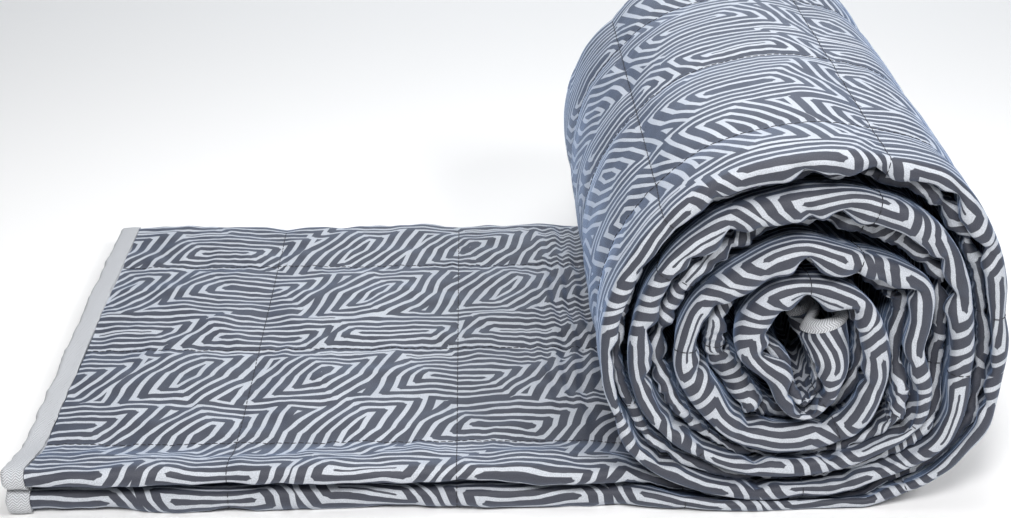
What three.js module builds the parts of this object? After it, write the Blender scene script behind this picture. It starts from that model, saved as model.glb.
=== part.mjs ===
// A dohar: a light quilted summer blanket for a single bed, about 1.52 x 2.29 m.
//
// Both long edges are folded in to the middle and the cloth is folded once more along its
// middle, so it makes a strip of four plies. At the front the strip shows two rounded folds,
// the lower pair and the upper pair, and at the back one large fold. The strip is then rolled
// up from one end on top of itself, and its last stretch is left lying flat.
//
// Millimetres, +Z up. The strip runs along X, its front folds face -Y, and it lies on Z = 0.
// The finished group is moved so that its origin is the middle of its footprint.

import * as THREE from 'three';

// Driving dimensions of the strip
const STRIP_DEPTH = 375;
const PLY_GAP = 0.4;
const BINDING_WIDTH = { outer: 14, inner: 6 };
const PIECE_GAP = 0.3;
const TURN_GAP = 0.7;

// Quilting: square panels, sewn along and across the cloth
const CROSS_LINE_FIRST = 113;
const CROSS_LINE_PITCH = 131;
const LENGTH_LINES = [52, 171, 299];
const LENGTH_CROWNS = [112, 235];
const CROSS_PINCH = 1.1;
const LENGTH_PINCH = 0.28;

// Front folds of the two pairs, in the flat stretch and in the roll, where the upper pair's
// nestles against the lower pair's
const LOWER_FOLD = { flatFront: 3, rolledFront: -1 };
const UPPER_FOLD = { flatFront: 0, fromLower: 2.8, flatRadius: 5.8 };
const NECK = { flat: 46, behindLower: 2 };
const STRIP_SHOULDER = 20;
const FOLD_LEAN = 4;
const FLAP_SETBACK = 5;
const FOLD_WAVE = { height: 1.6, length: 23 };
const BACK_WAVE = { height: 1.8, length: 31 };

// Where the strip changes from lying flat to being rolled, by distance along its outer face
const ROLL_BEGINS = { from: 315, to: 380 };
const FLOOR_ENDS = { from: 465, to: 492 };
const LEAN_BEGINS = { from: 1000, to: 1080 };

// How the front fold draws back at the cloth's other short end, in the middle of the roll
const END_TUCK = { from: 2495, to: 2526, back: 9 };

// The strip's outer face, from the loose end to the middle of the roll. The flat stretch is
// given by its distance from the loose end, the turns by angle and reach about the roll's
// axis (0 degrees is straight down, 90 is away from the loose end), and the last fold in
// the roll's middle by its place. "thick" is the thickness of the four plies there, and "tube"
// how far the lower pair's front fold reaches inwards from its own outer side.
const FLAT_STRETCH = [
  { x: 0, thick: 20, tube: 17 },
  { x: 130, thick: 20, tube: 17 },
  { x: 260, thick: 20, tube: 17 },
  { x: 335, thick: 18.5, tube: 14.5 },
  { x: 375, thick: 13.5, tube: 11 },
  { x: 402, thick: 8.5, tube: 8 },
  { x: 440, thick: 6.3, tube: 6.3 },
  { x: 478, thick: 7, tube: 6.8 },
];
const ROLL_AXIS = { x: 438, z: 106 };
const TURNS = [
  [
    { angle: 30, reach: 115.5, thick: 12.5, tube: 8.5 },
    { angle: 38, reach: 117.5, thick: 12.5, tube: 8.5 },
    { angle: 46, reach: 118.5, thick: 12, tube: 8 },
    { angle: 56, reach: 118, thick: 12.5, tube: 8 },
    { angle: 64, reach: 119, thick: 14, tube: 8.5 },
    { angle: 75, reach: 114.5, thick: 14.5, tube: 9 },
    { angle: 88, reach: 113, thick: 16, tube: 10 },
    { angle: 101, reach: 112, thick: 17, tube: 12.5 },
    { angle: 117, reach: 116, thick: 19, tube: 12 },
    { angle: 131.5, reach: 120.5, thick: 21, tube: 13 },
    { angle: 145.5, reach: 123.5, thick: 22, tube: 11 },
    { angle: 160, reach: 118, thick: 21, tube: 13.5 },
    { angle: 180, reach: 115.5, thick: 20.5, tube: 13.5 },
    { angle: 210, reach: 115, thick: 19.5, tube: 13.5 },
    { angle: 240, reach: 114, thick: 15.5, tube: 12.5 },
    { angle: 262, reach: 114.5, thick: 14.8, tube: 9.5 },
    { angle: 281, reach: 114.5, thick: 13.5, tube: 8 },
    { angle: 296, reach: 113.8, thick: 15, tube: 8 },
    { angle: 304, reach: 114.5, thick: 15, tube: 8.5 },
    { angle: 314, reach: 110.8, thick: 15, tube: 9 },
    { angle: 325, reach: 104.8, thick: 13, tube: 9.5 },
    { angle: 340, reach: 99.2, thick: 10.2, tube: 9.5 },
  ],
  [
    { angle: 1.5, reach: 95.3, thick: 11.5, tube: 11 },
    { angle: 12, reach: 96.5, thick: 11.5, tube: 10 },
    { angle: 26, reach: 96.2, thick: 12, tube: 9.5 },
    { angle: 41, reach: 99.8, thick: 14, tube: 9.5 },
    { angle: 52, reach: 102, thick: 16, tube: 10.5 },
    { angle: 62, reach: 100, thick: 17, tube: 12.5 },
    { angle: 81.4, reach: 93.5, thick: 21.5, tube: 17.5 },
    { angle: 103.1, reach: 91.3, thick: 17, tube: 16.5 },
    { angle: 118.4, reach: 92.8, thick: 16, tube: 13 },
    { angle: 129.8, reach: 95.1, thick: 22, tube: 15.5 },
    { angle: 142.9, reach: 95.8, thick: 26.5, tube: 19 },
    { angle: 164.3, reach: 92.3, thick: 28, tube: 20.5 },
    { angle: 188.9, reach: 89.3, thick: 24, tube: 20 },
    { angle: 215.9, reach: 91.4, thick: 26.5, tube: 17 },
    { angle: 242.8, reach: 94.8, thick: 23.5, tube: 14.5 },
    { angle: 272.5, reach: 95.6, thick: 20, tube: 15.5 },
    { angle: 291.4, reach: 95.5, thick: 20, tube: 12 },
    { angle: 308.7, reach: 91, thick: 17, tube: 10.5 },
    { angle: 332.4, reach: 84.4, thick: 10.8, tube: 10 },
  ],
  [
    { angle: 0.3, reach: 80.8, thick: 8.8, tube: 12 },
    { angle: 20, reach: 80.6, thick: 9.5, tube: 9.5 },
    { angle: 36, reach: 80.9, thick: 12, tube: 8.5 },
    { angle: 53.7, reach: 82.9, thick: 20, tube: 9 },
    { angle: 68.8, reach: 74.2, thick: 19.5, tube: 10.5 },
    { angle: 88, reach: 62.4, thick: 15.5, tube: 13 },
    { angle: 104, reach: 68.1, thick: 18, tube: 15.5 },
    { angle: 117.9, reach: 72.7, thick: 20, tube: 15.5 },
    { angle: 133.8, reach: 66.1, thick: 20, tube: 15.5 },
    { angle: 163.2, reach: 58.2, thick: 17, tube: 18.5 },
    { angle: 189.7, reach: 61.2, thick: 17.5, tube: 18 },
    { angle: 222, reach: 59.8, thick: 17.5, tube: 18 },
    { angle: 251.1, reach: 67.8, thick: 24.5, tube: 14.5 },
    { angle: 276.7, reach: 71.3, thick: 30, tube: 17.5 },
    { angle: 298.5, reach: 68.6, thick: 32, tube: 20.5 },
    { angle: 324.8, reach: 68.4, thick: 29, tube: 16.5 },
    { angle: 347.2, reach: 67.6, thick: 22, tube: 20 },
  ],
  [
    { angle: 8.5, reach: 66, thick: 21.5, tube: 20 },
    { angle: 29.9, reach: 65.3, thick: 21, tube: 19.5 },
    { angle: 51.5, reach: 54.5, thick: 18, tube: 16.5 },
    { angle: 85.6, reach: 43.9, thick: 14, tube: 17 },
    { angle: 125.2, reach: 39.8, thick: 12.5, tube: 15 },
    { angle: 164.2, reach: 37.7, thick: 15.8, tube: 19 },
    { angle: 211.4, reach: 38.4, thick: 17.5, tube: 19 },
    { angle: 251.6, reach: 37.6, thick: 17, tube: 18.5 },
    { angle: 278.3, reach: 34.6, thick: 15.5, tube: 19 },
  ],
];
const CORE_FOLD = [
  { x: 420.2, z: 84.5, thick: 13.5, tube: 16 },
  { x: 427, z: 73, thick: 9.5, tube: 8 },
  { x: 434.6, z: 65.1, thick: 8, tube: 5.6 },
  { x: 444.1, z: 64.1, thick: 7.6, tube: 5.8 },
  { x: 453.3, z: 70.9, thick: 9.5, tube: 9.5 },
  { x: 459.8, z: 83.4, thick: 18.5, tube: 20 },
  { x: 462.3, z: 97.9, thick: 26, tube: 28 },
  { x: 461, z: 109.5, thick: 29, tube: 30 },
  { x: 457.8, z: 120.8, thick: 26, tube: 24 },
];

// Rings of the swept solid in each quilted panel, up to a distance along the strip
const RINGS_PER_PANEL = [
  { upTo: 300, rings: 4 },
  { upTo: 1150, rings: 6 },
  { upTo: 1900, rings: 6 },
  { upTo: 2350, rings: 7 },
  { upTo: 3000, rings: 10 },
];
const PATH_STEPS_PER_POINT = 24;

const quiltCloth = new THREE.MeshStandardMaterial({ color: 0x848d9b, roughness: 0.85, metalness: 0 });
const bindingCloth = new THREE.MeshStandardMaterial({ color: 0xc5c9d1, roughness: 0.8, metalness: 0 });

const lerp = THREE.MathUtils.lerp;
const ramp = (span, s) => THREE.MathUtils.smoothstep(s, span.from, span.to);

// The three tables as one list of places on the strip's outer face
function routePlaces() {
  const places = FLAT_STRETCH.map((row) => ({ ...row, z: 0 }));
  for (const { angle, reach, thick, tube } of TURNS.flat()) {
    const phi = THREE.MathUtils.degToRad(angle);
    const x = ROLL_AXIS.x + reach * Math.sin(phi);
    const z = ROLL_AXIS.z - reach * Math.cos(phi);
    places.push({ x, z, thick, tube });
  }
  return [...places, ...CORE_FOLD];
}

// Fine samples of the route, each with its distance from the loose end. The curve's second
// number carries the strip's thickness, so that place and thickness change together.
function sampleRoute() {
  const places = routePlaces();
  const points = places.map(({ x, z, thick }) => new THREE.Vector3(x, thick, z));
  const curve = new THREE.CatmullRomCurve3(points, false, 'centripetal');
  const steps = (places.length - 1) * PATH_STEPS_PER_POINT;
  const samples = [];
  let s = 0;
  for (let i = 0; i <= steps; i += 1) {
    const p = curve.getPoint(i / steps);
    const k = Math.min(Math.floor(i / PATH_STEPS_PER_POINT), places.length - 2);
    const share = THREE.MathUtils.smoothstep(i / PATH_STEPS_PER_POINT - k, 0, 1);
    const tube = lerp(places[k].tube, places[k + 1].tube, share);
    const here = { s, x: p.x, z: Math.max(p.z, 0), thick: p.y, tube };
    const last = samples.at(-1);
    if (last) {
      s += Math.hypot(here.x - last.x, here.z - last.z);
      here.s = s;
    }
    samples.push(here);
  }
  return samples;
}

const route = sampleRoute();
const ROUTE_LENGTH = route.at(-1).s;

// Place, direction, thickness and fold width of the strip at a distance s along its outer
// face. A negative s is ahead of the loose end, along the floor.
function stationAt(s) {
  let i = 1;
  while (i < route.length - 1 && route[i].s < s) i += 1;
  const a = route[i - 1];
  const b = route[i];
  const t = (s - a.s) / (b.s - a.s);
  const dx = (b.x - a.x) / (b.s - a.s);
  const dz = (b.z - a.z) / (b.s - a.s);
  const inside = THREE.MathUtils.clamp(t, 0, 1);
  const thick = lerp(a.thick, b.thick, inside);
  const tube = lerp(a.tube, b.tube, inside);
  return { x: lerp(a.x, b.x, t), z: lerp(a.z, b.z, t), dx, dz, thick, tube };
}

// Points of an arc in the section, at equal steps from one angle to another, in degrees
function arc(y, n, radius, from, to, count) {
  return Array.from({ length: count }, (_, i) => {
    const a = THREE.MathUtils.degToRad(lerp(from, to, i / (count - 1)));
    return [y + radius * Math.cos(a), n + radius * Math.sin(a)];
  });
}

// Outline of the four plies as one back-and-forth section, as [y, n] points, with y across the
// strip and n from its outer face inwards. It walks along the cloth's outer side from one
// long edge to the other, and returns along its inner side.
function plySection(s, thick, tube, pinch) {
  const rolled = ramp(ROLL_BEGINS, s);
  const onFloor = 1 - ramp(FLOOR_ENDS, s);
  const lean = FOLD_LEAN * ramp(LEAN_BEGINS, s);
  const base = pinch * (1 - onFloor);
  const top = thick - pinch - TURN_GAP * rolled;
  const middle = (base + top) / 2;
  const ply = (top - base) / 4 - 0.75 * PLY_GAP;
  const dip = LENGTH_PINCH * ply;
  const wave = FOLD_WAVE.height * Math.sin(s / FOLD_WAVE.length);

  // Front fold of the lower pair, which leans out over the turn below it
  const drawnIn = (top - base) / (thick - TURN_GAP * rolled);
  const lowerRadius = (tube / 2) * drawnIn;
  const drawnBack = END_TUCK.back * ramp(END_TUCK, s);
  const lowerFront = lerp(LOWER_FOLD.flatFront, LOWER_FOLD.rolledFront, rolled) + drawnBack;
  const lowerY = lowerFront + wave + lowerRadius;
  const lowerN = base - lean + lowerRadius;
  const neckY = lerp(NECK.flat, lowerY + lowerRadius + NECK.behindLower, rolled);
  const neckSlope = (lowerN + lowerRadius - (middle - PLY_GAP / 2)) / (neckY - lowerY);

  // Front fold of the upper pair, over the lower one where the strip is flat, behind it in the roll
  const upperRadius = lerp(UPPER_FOLD.flatRadius, (top - middle - PLY_GAP / 2) / 2, rolled);
  const reach = lowerRadius + upperRadius + UPPER_FOLD.fromLower;
  const above = middle + PLY_GAP / 2 + upperRadius - lowerN;
  const nestledY = lowerY + Math.sqrt(Math.max(reach ** 2 - above ** 2, 0));
  const upperY = lerp(UPPER_FOLD.flatFront - wave + upperRadius, nestledY, rolled);
  const slopeUnder = upperY < neckY ? Math.max(neckSlope, 0) : 0;
  const rise = slopeUnder * Math.max(neckY - upperY, 0);
  const seat = upperRadius * Math.hypot(1, slopeUnder);
  const upperN = middle + PLY_GAP / 2 + rise + seat;
  const upperNeckY = Math.max(neckY, upperY + 1);

  // Large fold at the back, which takes all the plies round together
  const backRadius = (top - base) / 2;
  const backY = STRIP_DEPTH - backRadius + BACK_WAVE.height * Math.sin(s / BACK_WAVE.length);
  const flapY = backY - FLAP_SETBACK;

  const crownsAndLines = [...LENGTH_LINES, ...LENGTH_CROWNS].sort((a, b) => a - b);
  const dipAt = (y) => (LENGTH_LINES.includes(y) ? dip : 0);
  const topFace = crownsAndLines.map((y) => [y, top - dipAt(y)]);
  const underside = crownsAndLines.map((y) => [y, base + dipAt(y) * (1 - onFloor)]).reverse();

  return [
    [flapY, middle + PLY_GAP / 2],
    [upperNeckY, middle + PLY_GAP / 2],
    ...arc(upperY, upperN, upperRadius, 270, 90, 5),
    ...topFace,
    ...arc(backY, middle, backRadius, 90, -90, 5),
    ...underside,
    [STRIP_SHOULDER, base],
    ...arc(lowerY, lowerN, lowerRadius, 270, 90, 5),
    [neckY, middle - PLY_GAP / 2],
    [flapY, middle - PLY_GAP / 2],
    [flapY, middle - PLY_GAP / 2 - ply],
    [neckY, middle - PLY_GAP / 2 - ply],
    ...arc(lowerY, lowerN, lowerRadius - ply, 90, 270, 3),
    [STRIP_SHOULDER, base + ply],
    ...arc(backY, middle, backRadius - ply, -90, 90, 3),
    [LENGTH_LINES[0], top - ply],
    ...arc(upperY, upperN, upperRadius - ply, 90, 270, 3),
    [upperNeckY, middle + PLY_GAP / 2 + ply],
    [flapY, middle + PLY_GAP / 2 + ply],
  ];
}

// A closed solid through a row of rings, each a distance along the strip and a pinch
function sweep(rings) {
  const sections = rings.map(({ s, pinch }) => {
    const station = stationAt(s);
    const outline = plySection(s, station.thick, station.tube, pinch);
    return { station, outline };
  });
  const count = sections[0].outline.length;
  const vertices = [];
  for (const { station, outline } of sections) {
    for (const [y, n] of outline) {
      vertices.push(station.x - station.dz * n, y, station.z + station.dx * n);
    }
  }

  const faces = [];
  for (let i = 0; i < sections.length - 1; i += 1) {
    for (let j = 0; j < count; j += 1) {
      const a = i * count + j;
      const d = i * count + ((j + 1) % count);
      faces.push(a, a + count, d + count, a, d + count, d);
    }
  }
  const closeEnd = (outline, first, facesForward) => {
    const contour = outline.map(([y, n]) => new THREE.Vector2(y, n));
    for (const [a, b, c] of THREE.ShapeUtils.triangulateShape(contour, [])) {
      const turn = THREE.ShapeUtils.area([contour[a], contour[b], contour[c]]);
      const keep = turn > 0 === facesForward;
      faces.push(first + a, first + (keep ? b : c), first + (keep ? c : b));
    }
  };
  closeEnd(sections[0].outline, 0, false);
  closeEnd(sections.at(-1).outline, (sections.length - 1) * count, true);

  const geometry = new THREE.BufferGeometry();
  geometry.setAttribute('position', new THREE.Float32BufferAttribute(vertices, 3));
  geometry.setIndex(faces);
  return geometry;
}

// The quilted body, with a ring on every cross stitch line and a few between
function quiltRings() {
  const end = ROUTE_LENGTH - BINDING_WIDTH.inner;
  const rings = [{ s: 0, pinch: CROSS_PINCH }];
  let lineBefore = 0;
  let line = CROSS_LINE_FIRST;
  while (lineBefore < end) {
    const { rings: count } = RINGS_PER_PANEL.find(({ upTo }) => line < upTo);
    const stop = Math.min(line, end);
    for (let i = 1; i <= count; i += 1) {
      const onLine = i === count;
      rings.push({ s: lerp(lineBefore, stop, i / count), pinch: onLine ? CROSS_PINCH : 0 });
    }
    lineBefore = line;
    line += CROSS_LINE_PITCH;
  }
  return rings;
}

// The binding sewn round each short end, drawn in a little at its folded edge
function bindingRings(from, to, drawnInAt) {
  return [0, 0.3, 0.7, 1].map((t) => {
    const s = lerp(from, to, t);
    const atEdge = t === drawnInAt;
    return { s, pinch: atEdge ? 1.5 * CROSS_PINCH : 0.8 * CROSS_PINCH };
  });
}

const blanket = new THREE.Group();
function addPiece(name, rings, material) {
  const mesh = new THREE.Mesh(sweep(rings), material);
  mesh.name = name;
  blanket.add(mesh);
}
addPiece('quilt', quiltRings(), quiltCloth);
addPiece('binding_outer_end', bindingRings(-BINDING_WIDTH.outer, -PIECE_GAP, 0), bindingCloth);
addPiece(
  'binding_inner_end',
  bindingRings(ROUTE_LENGTH - BINDING_WIDTH.inner + PIECE_GAP, ROUTE_LENGTH, 1),
  bindingCloth,
);

const box = new THREE.Box3().setFromObject(blanket);
const middleOfFootprint = box.getCenter(new THREE.Vector3());
blanket.position.set(-middleOfFootprint.x, -middleOfFootprint.y, -box.min.z);

export default blanket;
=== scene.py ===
"""A dohar, folded to a strip of four plies and rolled up: its cloth, bindings, stitching and studio."""

import logging
import math
from dataclasses import dataclass
from enum import Enum
from typing import NamedTuple, Optional, Sequence, Union

import bmesh
import bpy
import numpy as np
from mathutils import Matrix, Vector


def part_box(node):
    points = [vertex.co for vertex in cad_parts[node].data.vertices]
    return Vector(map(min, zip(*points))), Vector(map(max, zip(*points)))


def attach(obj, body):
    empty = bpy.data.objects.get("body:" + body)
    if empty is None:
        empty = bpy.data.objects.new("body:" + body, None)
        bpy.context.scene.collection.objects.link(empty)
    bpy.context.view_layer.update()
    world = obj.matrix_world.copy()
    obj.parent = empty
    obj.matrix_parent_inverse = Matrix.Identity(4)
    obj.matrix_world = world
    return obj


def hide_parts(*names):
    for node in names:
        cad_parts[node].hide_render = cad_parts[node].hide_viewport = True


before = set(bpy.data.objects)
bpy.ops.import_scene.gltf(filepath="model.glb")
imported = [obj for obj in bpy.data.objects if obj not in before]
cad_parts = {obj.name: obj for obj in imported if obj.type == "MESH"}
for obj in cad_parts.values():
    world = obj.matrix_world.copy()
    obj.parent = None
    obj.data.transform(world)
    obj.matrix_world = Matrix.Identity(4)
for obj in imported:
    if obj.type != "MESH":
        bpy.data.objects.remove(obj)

logging.basicConfig(level=logging.INFO, format="%(message)s")
log = logging.getLogger("dohar")

MM = 0.001
PHOTO_WIDTH = 1011
CLOTH_MAP = "cloth"
CLEAR_OF_FLOOR = 0.05
INNER_CLEAR_OF_FLOOR = 0.2

Values = Union[float, np.ndarray]


class FloorPoint(NamedTuple):
    """A place on the flat stretch: distance from the loose end, thickness and fold width, in mm."""

    x: float
    thick: float
    tube: float


class TurnPoint(NamedTuple):
    """A place on a turn of the roll: degrees from straight down, reach, thickness and fold width."""

    angle: float
    reach: float
    thick: float
    tube: float


class CorePoint(NamedTuple):
    """A place on the last fold in the roll's middle, in mm."""

    x: float
    z: float
    thick: float
    tube: float


FLAT_STRETCH = [
    FloorPoint(0, 20, 17),
    FloorPoint(130, 20, 17),
    FloorPoint(260, 20, 17),
    FloorPoint(335, 18.5, 14.5),
    FloorPoint(375, 13.5, 11),
    FloorPoint(402, 8.5, 8),
    FloorPoint(440, 6.3, 6.3),
    FloorPoint(478, 7, 6.8),
]
ROLL_AXIS = (438.0, 106.0)
TURNS = [
    [
        TurnPoint(30, 115.5, 12.5, 8.5),
        TurnPoint(38, 117.5, 12.5, 8.5),
        TurnPoint(46, 118.5, 12, 8),
        TurnPoint(56, 118, 12.5, 8),
        TurnPoint(64, 119, 14, 8.5),
        TurnPoint(75, 114.5, 14.5, 9),
        TurnPoint(88, 113, 16, 10),
        TurnPoint(101, 112, 17, 12.5),
        TurnPoint(117, 116, 19, 12),
        TurnPoint(131.5, 120.5, 21, 13),
        TurnPoint(145.5, 123.5, 22, 11),
        TurnPoint(160, 118, 21, 13.5),
        TurnPoint(180, 115.5, 20.5, 13.5),
        TurnPoint(210, 115, 19.5, 13.5),
        TurnPoint(240, 114, 15.5, 12.5),
        TurnPoint(262, 114.5, 14.8, 9.5),
        TurnPoint(281, 114.5, 13.5, 8),
        TurnPoint(296, 113.8, 15, 8),
        TurnPoint(304, 114.5, 15, 8.5),
        TurnPoint(314, 110.8, 15, 9),
        TurnPoint(325, 104.8, 13, 9.5),
        TurnPoint(340, 99.2, 10.2, 9.5),
    ],
    [
        TurnPoint(1.5, 95.3, 11.5, 11),
        TurnPoint(12, 96.5, 11.5, 10),
        TurnPoint(26, 96.2, 12, 9.5),
        TurnPoint(41, 99.8, 14, 9.5),
        TurnPoint(52, 102, 16, 10.5),
        TurnPoint(62, 100, 17, 12.5),
        TurnPoint(81.4, 93.5, 21.5, 17.5),
        TurnPoint(103.1, 91.3, 17, 16.5),
        TurnPoint(118.4, 92.8, 16, 13),
        TurnPoint(129.8, 95.1, 22, 15.5),
        TurnPoint(142.9, 95.8, 26.5, 19),
        TurnPoint(164.3, 92.3, 28, 20.5),
        TurnPoint(188.9, 89.3, 24, 20),
        TurnPoint(215.9, 91.4, 26.5, 17),
        TurnPoint(242.8, 94.8, 23.5, 14.5),
        TurnPoint(272.5, 95.6, 20, 15.5),
        TurnPoint(291.4, 95.5, 20, 12),
        TurnPoint(308.7, 91, 17, 10.5),
        TurnPoint(332.4, 84.4, 10.8, 10),
    ],
    [
        TurnPoint(0.3, 80.8, 8.8, 12),
        TurnPoint(20, 80.6, 9.5, 9.5),
        TurnPoint(36, 80.9, 12, 8.5),
        TurnPoint(53.7, 82.9, 20, 9),
        TurnPoint(68.8, 74.2, 19.5, 10.5),
        TurnPoint(88, 62.4, 15.5, 13),
        TurnPoint(104, 68.1, 18, 15.5),
        TurnPoint(117.9, 72.7, 20, 15.5),
        TurnPoint(133.8, 66.1, 20, 15.5),
        TurnPoint(163.2, 58.2, 17, 18.5),
        TurnPoint(189.7, 61.2, 17.5, 18),
        TurnPoint(222, 59.8, 17.5, 18),
        TurnPoint(251.1, 67.8, 24.5, 14.5),
        TurnPoint(276.7, 71.3, 30, 17.5),
        TurnPoint(298.5, 68.6, 32, 20.5),
        TurnPoint(324.8, 68.4, 29, 16.5),
        TurnPoint(347.2, 67.6, 22, 20),
    ],
    [
        TurnPoint(8.5, 66, 21.5, 20),
        TurnPoint(29.9, 65.3, 21, 19.5),
        TurnPoint(51.5, 54.5, 18, 16.5),
        TurnPoint(85.6, 43.9, 14, 17),
        TurnPoint(125.2, 39.8, 12.5, 15),
        TurnPoint(164.2, 37.7, 15.8, 19),
        TurnPoint(211.4, 38.4, 17.5, 19),
        TurnPoint(251.6, 37.6, 17, 18.5),
        TurnPoint(278.3, 34.6, 15.5, 19),
    ],
]
CORE_FOLD = [
    CorePoint(420.2, 84.5, 13.5, 16),
    CorePoint(427, 73, 9.5, 8),
    CorePoint(434.6, 65.1, 8, 5.6),
    CorePoint(444.1, 64.1, 7.6, 5.8),
    CorePoint(453.3, 70.9, 9.5, 9.5),
    CorePoint(459.8, 83.4, 18.5, 20),
    CorePoint(462.3, 97.9, 26, 28),
    CorePoint(461, 109.5, 29, 30),
    CorePoint(457.8, 120.8, 26, 24),
]
STEPS_PER_POINT = 24


def lerp(a: Values, b: Values, t: Values) -> Values:
    """Value between a and b at share t."""
    return a + (b - a) * t


def smooth(low: float, high: float, x: Values) -> Values:
    """Soft step from 0 at low to 1 at high."""
    t = np.clip((x - low) / (high - low), 0.0, 1.0)
    return t * t * (3.0 - 2.0 * t)


@dataclass(frozen=True)
class Quilting:
    """Where the cloth is sewn through, in mm, and how deep the seams sink.

    Args:
        first_cross: First cross seam, by distance from the loose end.
        cross_pitch: Distance from one cross seam to the next.
        length_lines: Lengthwise seams, by distance behind the front folds.
        sink: How far a seam sinks below the cloth round it.
        spread: How far from the seam the cloth starts to sink.
        bend: How sharply the cloth bends down to the seam.
        wide_share: Share of the sink that lies farther out.
        wide_reach: How many times the spread that share reaches.
    """

    first_cross: float = 113.0
    cross_pitch: float = 131.0
    length_lines: tuple[float, ...] = (52.0, 171.0, 299.0)
    sink: float = 1.35
    spread: float = 7.5
    bend: float = 1.15
    wide_share: float = 0.28
    wide_reach: float = 4.2

    def from_cross_seam(self, s: np.ndarray) -> np.ndarray:
        """Distance along the strip to the nearest cross seam."""
        beyond = np.mod(s - self.first_cross + self.cross_pitch / 2, self.cross_pitch)
        return np.abs(beyond - self.cross_pitch / 2)

    def from_length_seam(self, y: np.ndarray) -> np.ndarray:
        """Distance across the strip to the nearest lengthwise seam."""
        return np.min([np.abs(y - line) for line in self.length_lines], axis=0)

    def hollow(self, distance: np.ndarray) -> np.ndarray:
        """Share of a seam's full depth at a distance from it."""
        near = np.exp(-((distance / self.spread) ** self.bend))
        wide = np.exp(-((distance / (self.wide_reach * self.spread)) ** 2))
        return lerp(near, wide, self.wide_share)

    def cross_seams(self, start: float, end: float) -> list[float]:
        """Cross seams between two distances along the strip."""
        count = math.ceil((end - self.first_cross) / self.cross_pitch) + 1
        seams = [self.first_cross + k * self.cross_pitch for k in range(count)]
        return [s for s in seams if start <= s <= end]


class Noise:
    """Seeded smooth noise on a plane, from -1 to 1."""

    CELLS = 256
    GAIN = 1.5

    def __init__(self, seed: int) -> None:
        """Draws the directions of the noise's slopes.

        Args:
            seed: Start of the random draws.
        """
        turns = np.random.default_rng(seed).uniform(0, 2 * np.pi, (self.CELLS, self.CELLS))
        self.east = np.cos(turns)
        self.north = np.sin(turns)

    def __call__(self, x: np.ndarray, y: np.ndarray) -> np.ndarray:
        """Noise at places given in the noise's own cells.

        Args:
            x: First coordinate.
            y: Second coordinate.

        Returns:
            Values of about -1 to 1.
        """
        x, y = np.broadcast_arrays(x, y)
        i = np.floor(x).astype(int)
        j = np.floor(y).astype(int)
        fx = x - i
        fy = y - j
        ease_x = fx**3 * (fx * (6 * fx - 15) + 10)
        ease_y = fy**3 * (fy * (6 * fy - 15) + 10)

        def corner(di: int, dj: int) -> np.ndarray:
            """Slope of one corner of the cell, followed to the place."""
            a = (i + di) % self.CELLS
            b = (j + dj) % self.CELLS
            return self.east[a, b] * (fx - di) + self.north[a, b] * (fy - dj)

        low = lerp(corner(0, 0), corner(1, 0), ease_x)
        high = lerp(corner(0, 1), corner(1, 1), ease_x)
        return self.GAIN * lerp(low, high, ease_y)


@dataclass
class Stations:
    """Places along the strip's outer face, in mm, each with its direction and thickness."""

    s: np.ndarray
    x: np.ndarray
    z: np.ndarray
    dx: np.ndarray
    dz: np.ndarray
    thick: np.ndarray
    tube: np.ndarray


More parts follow.
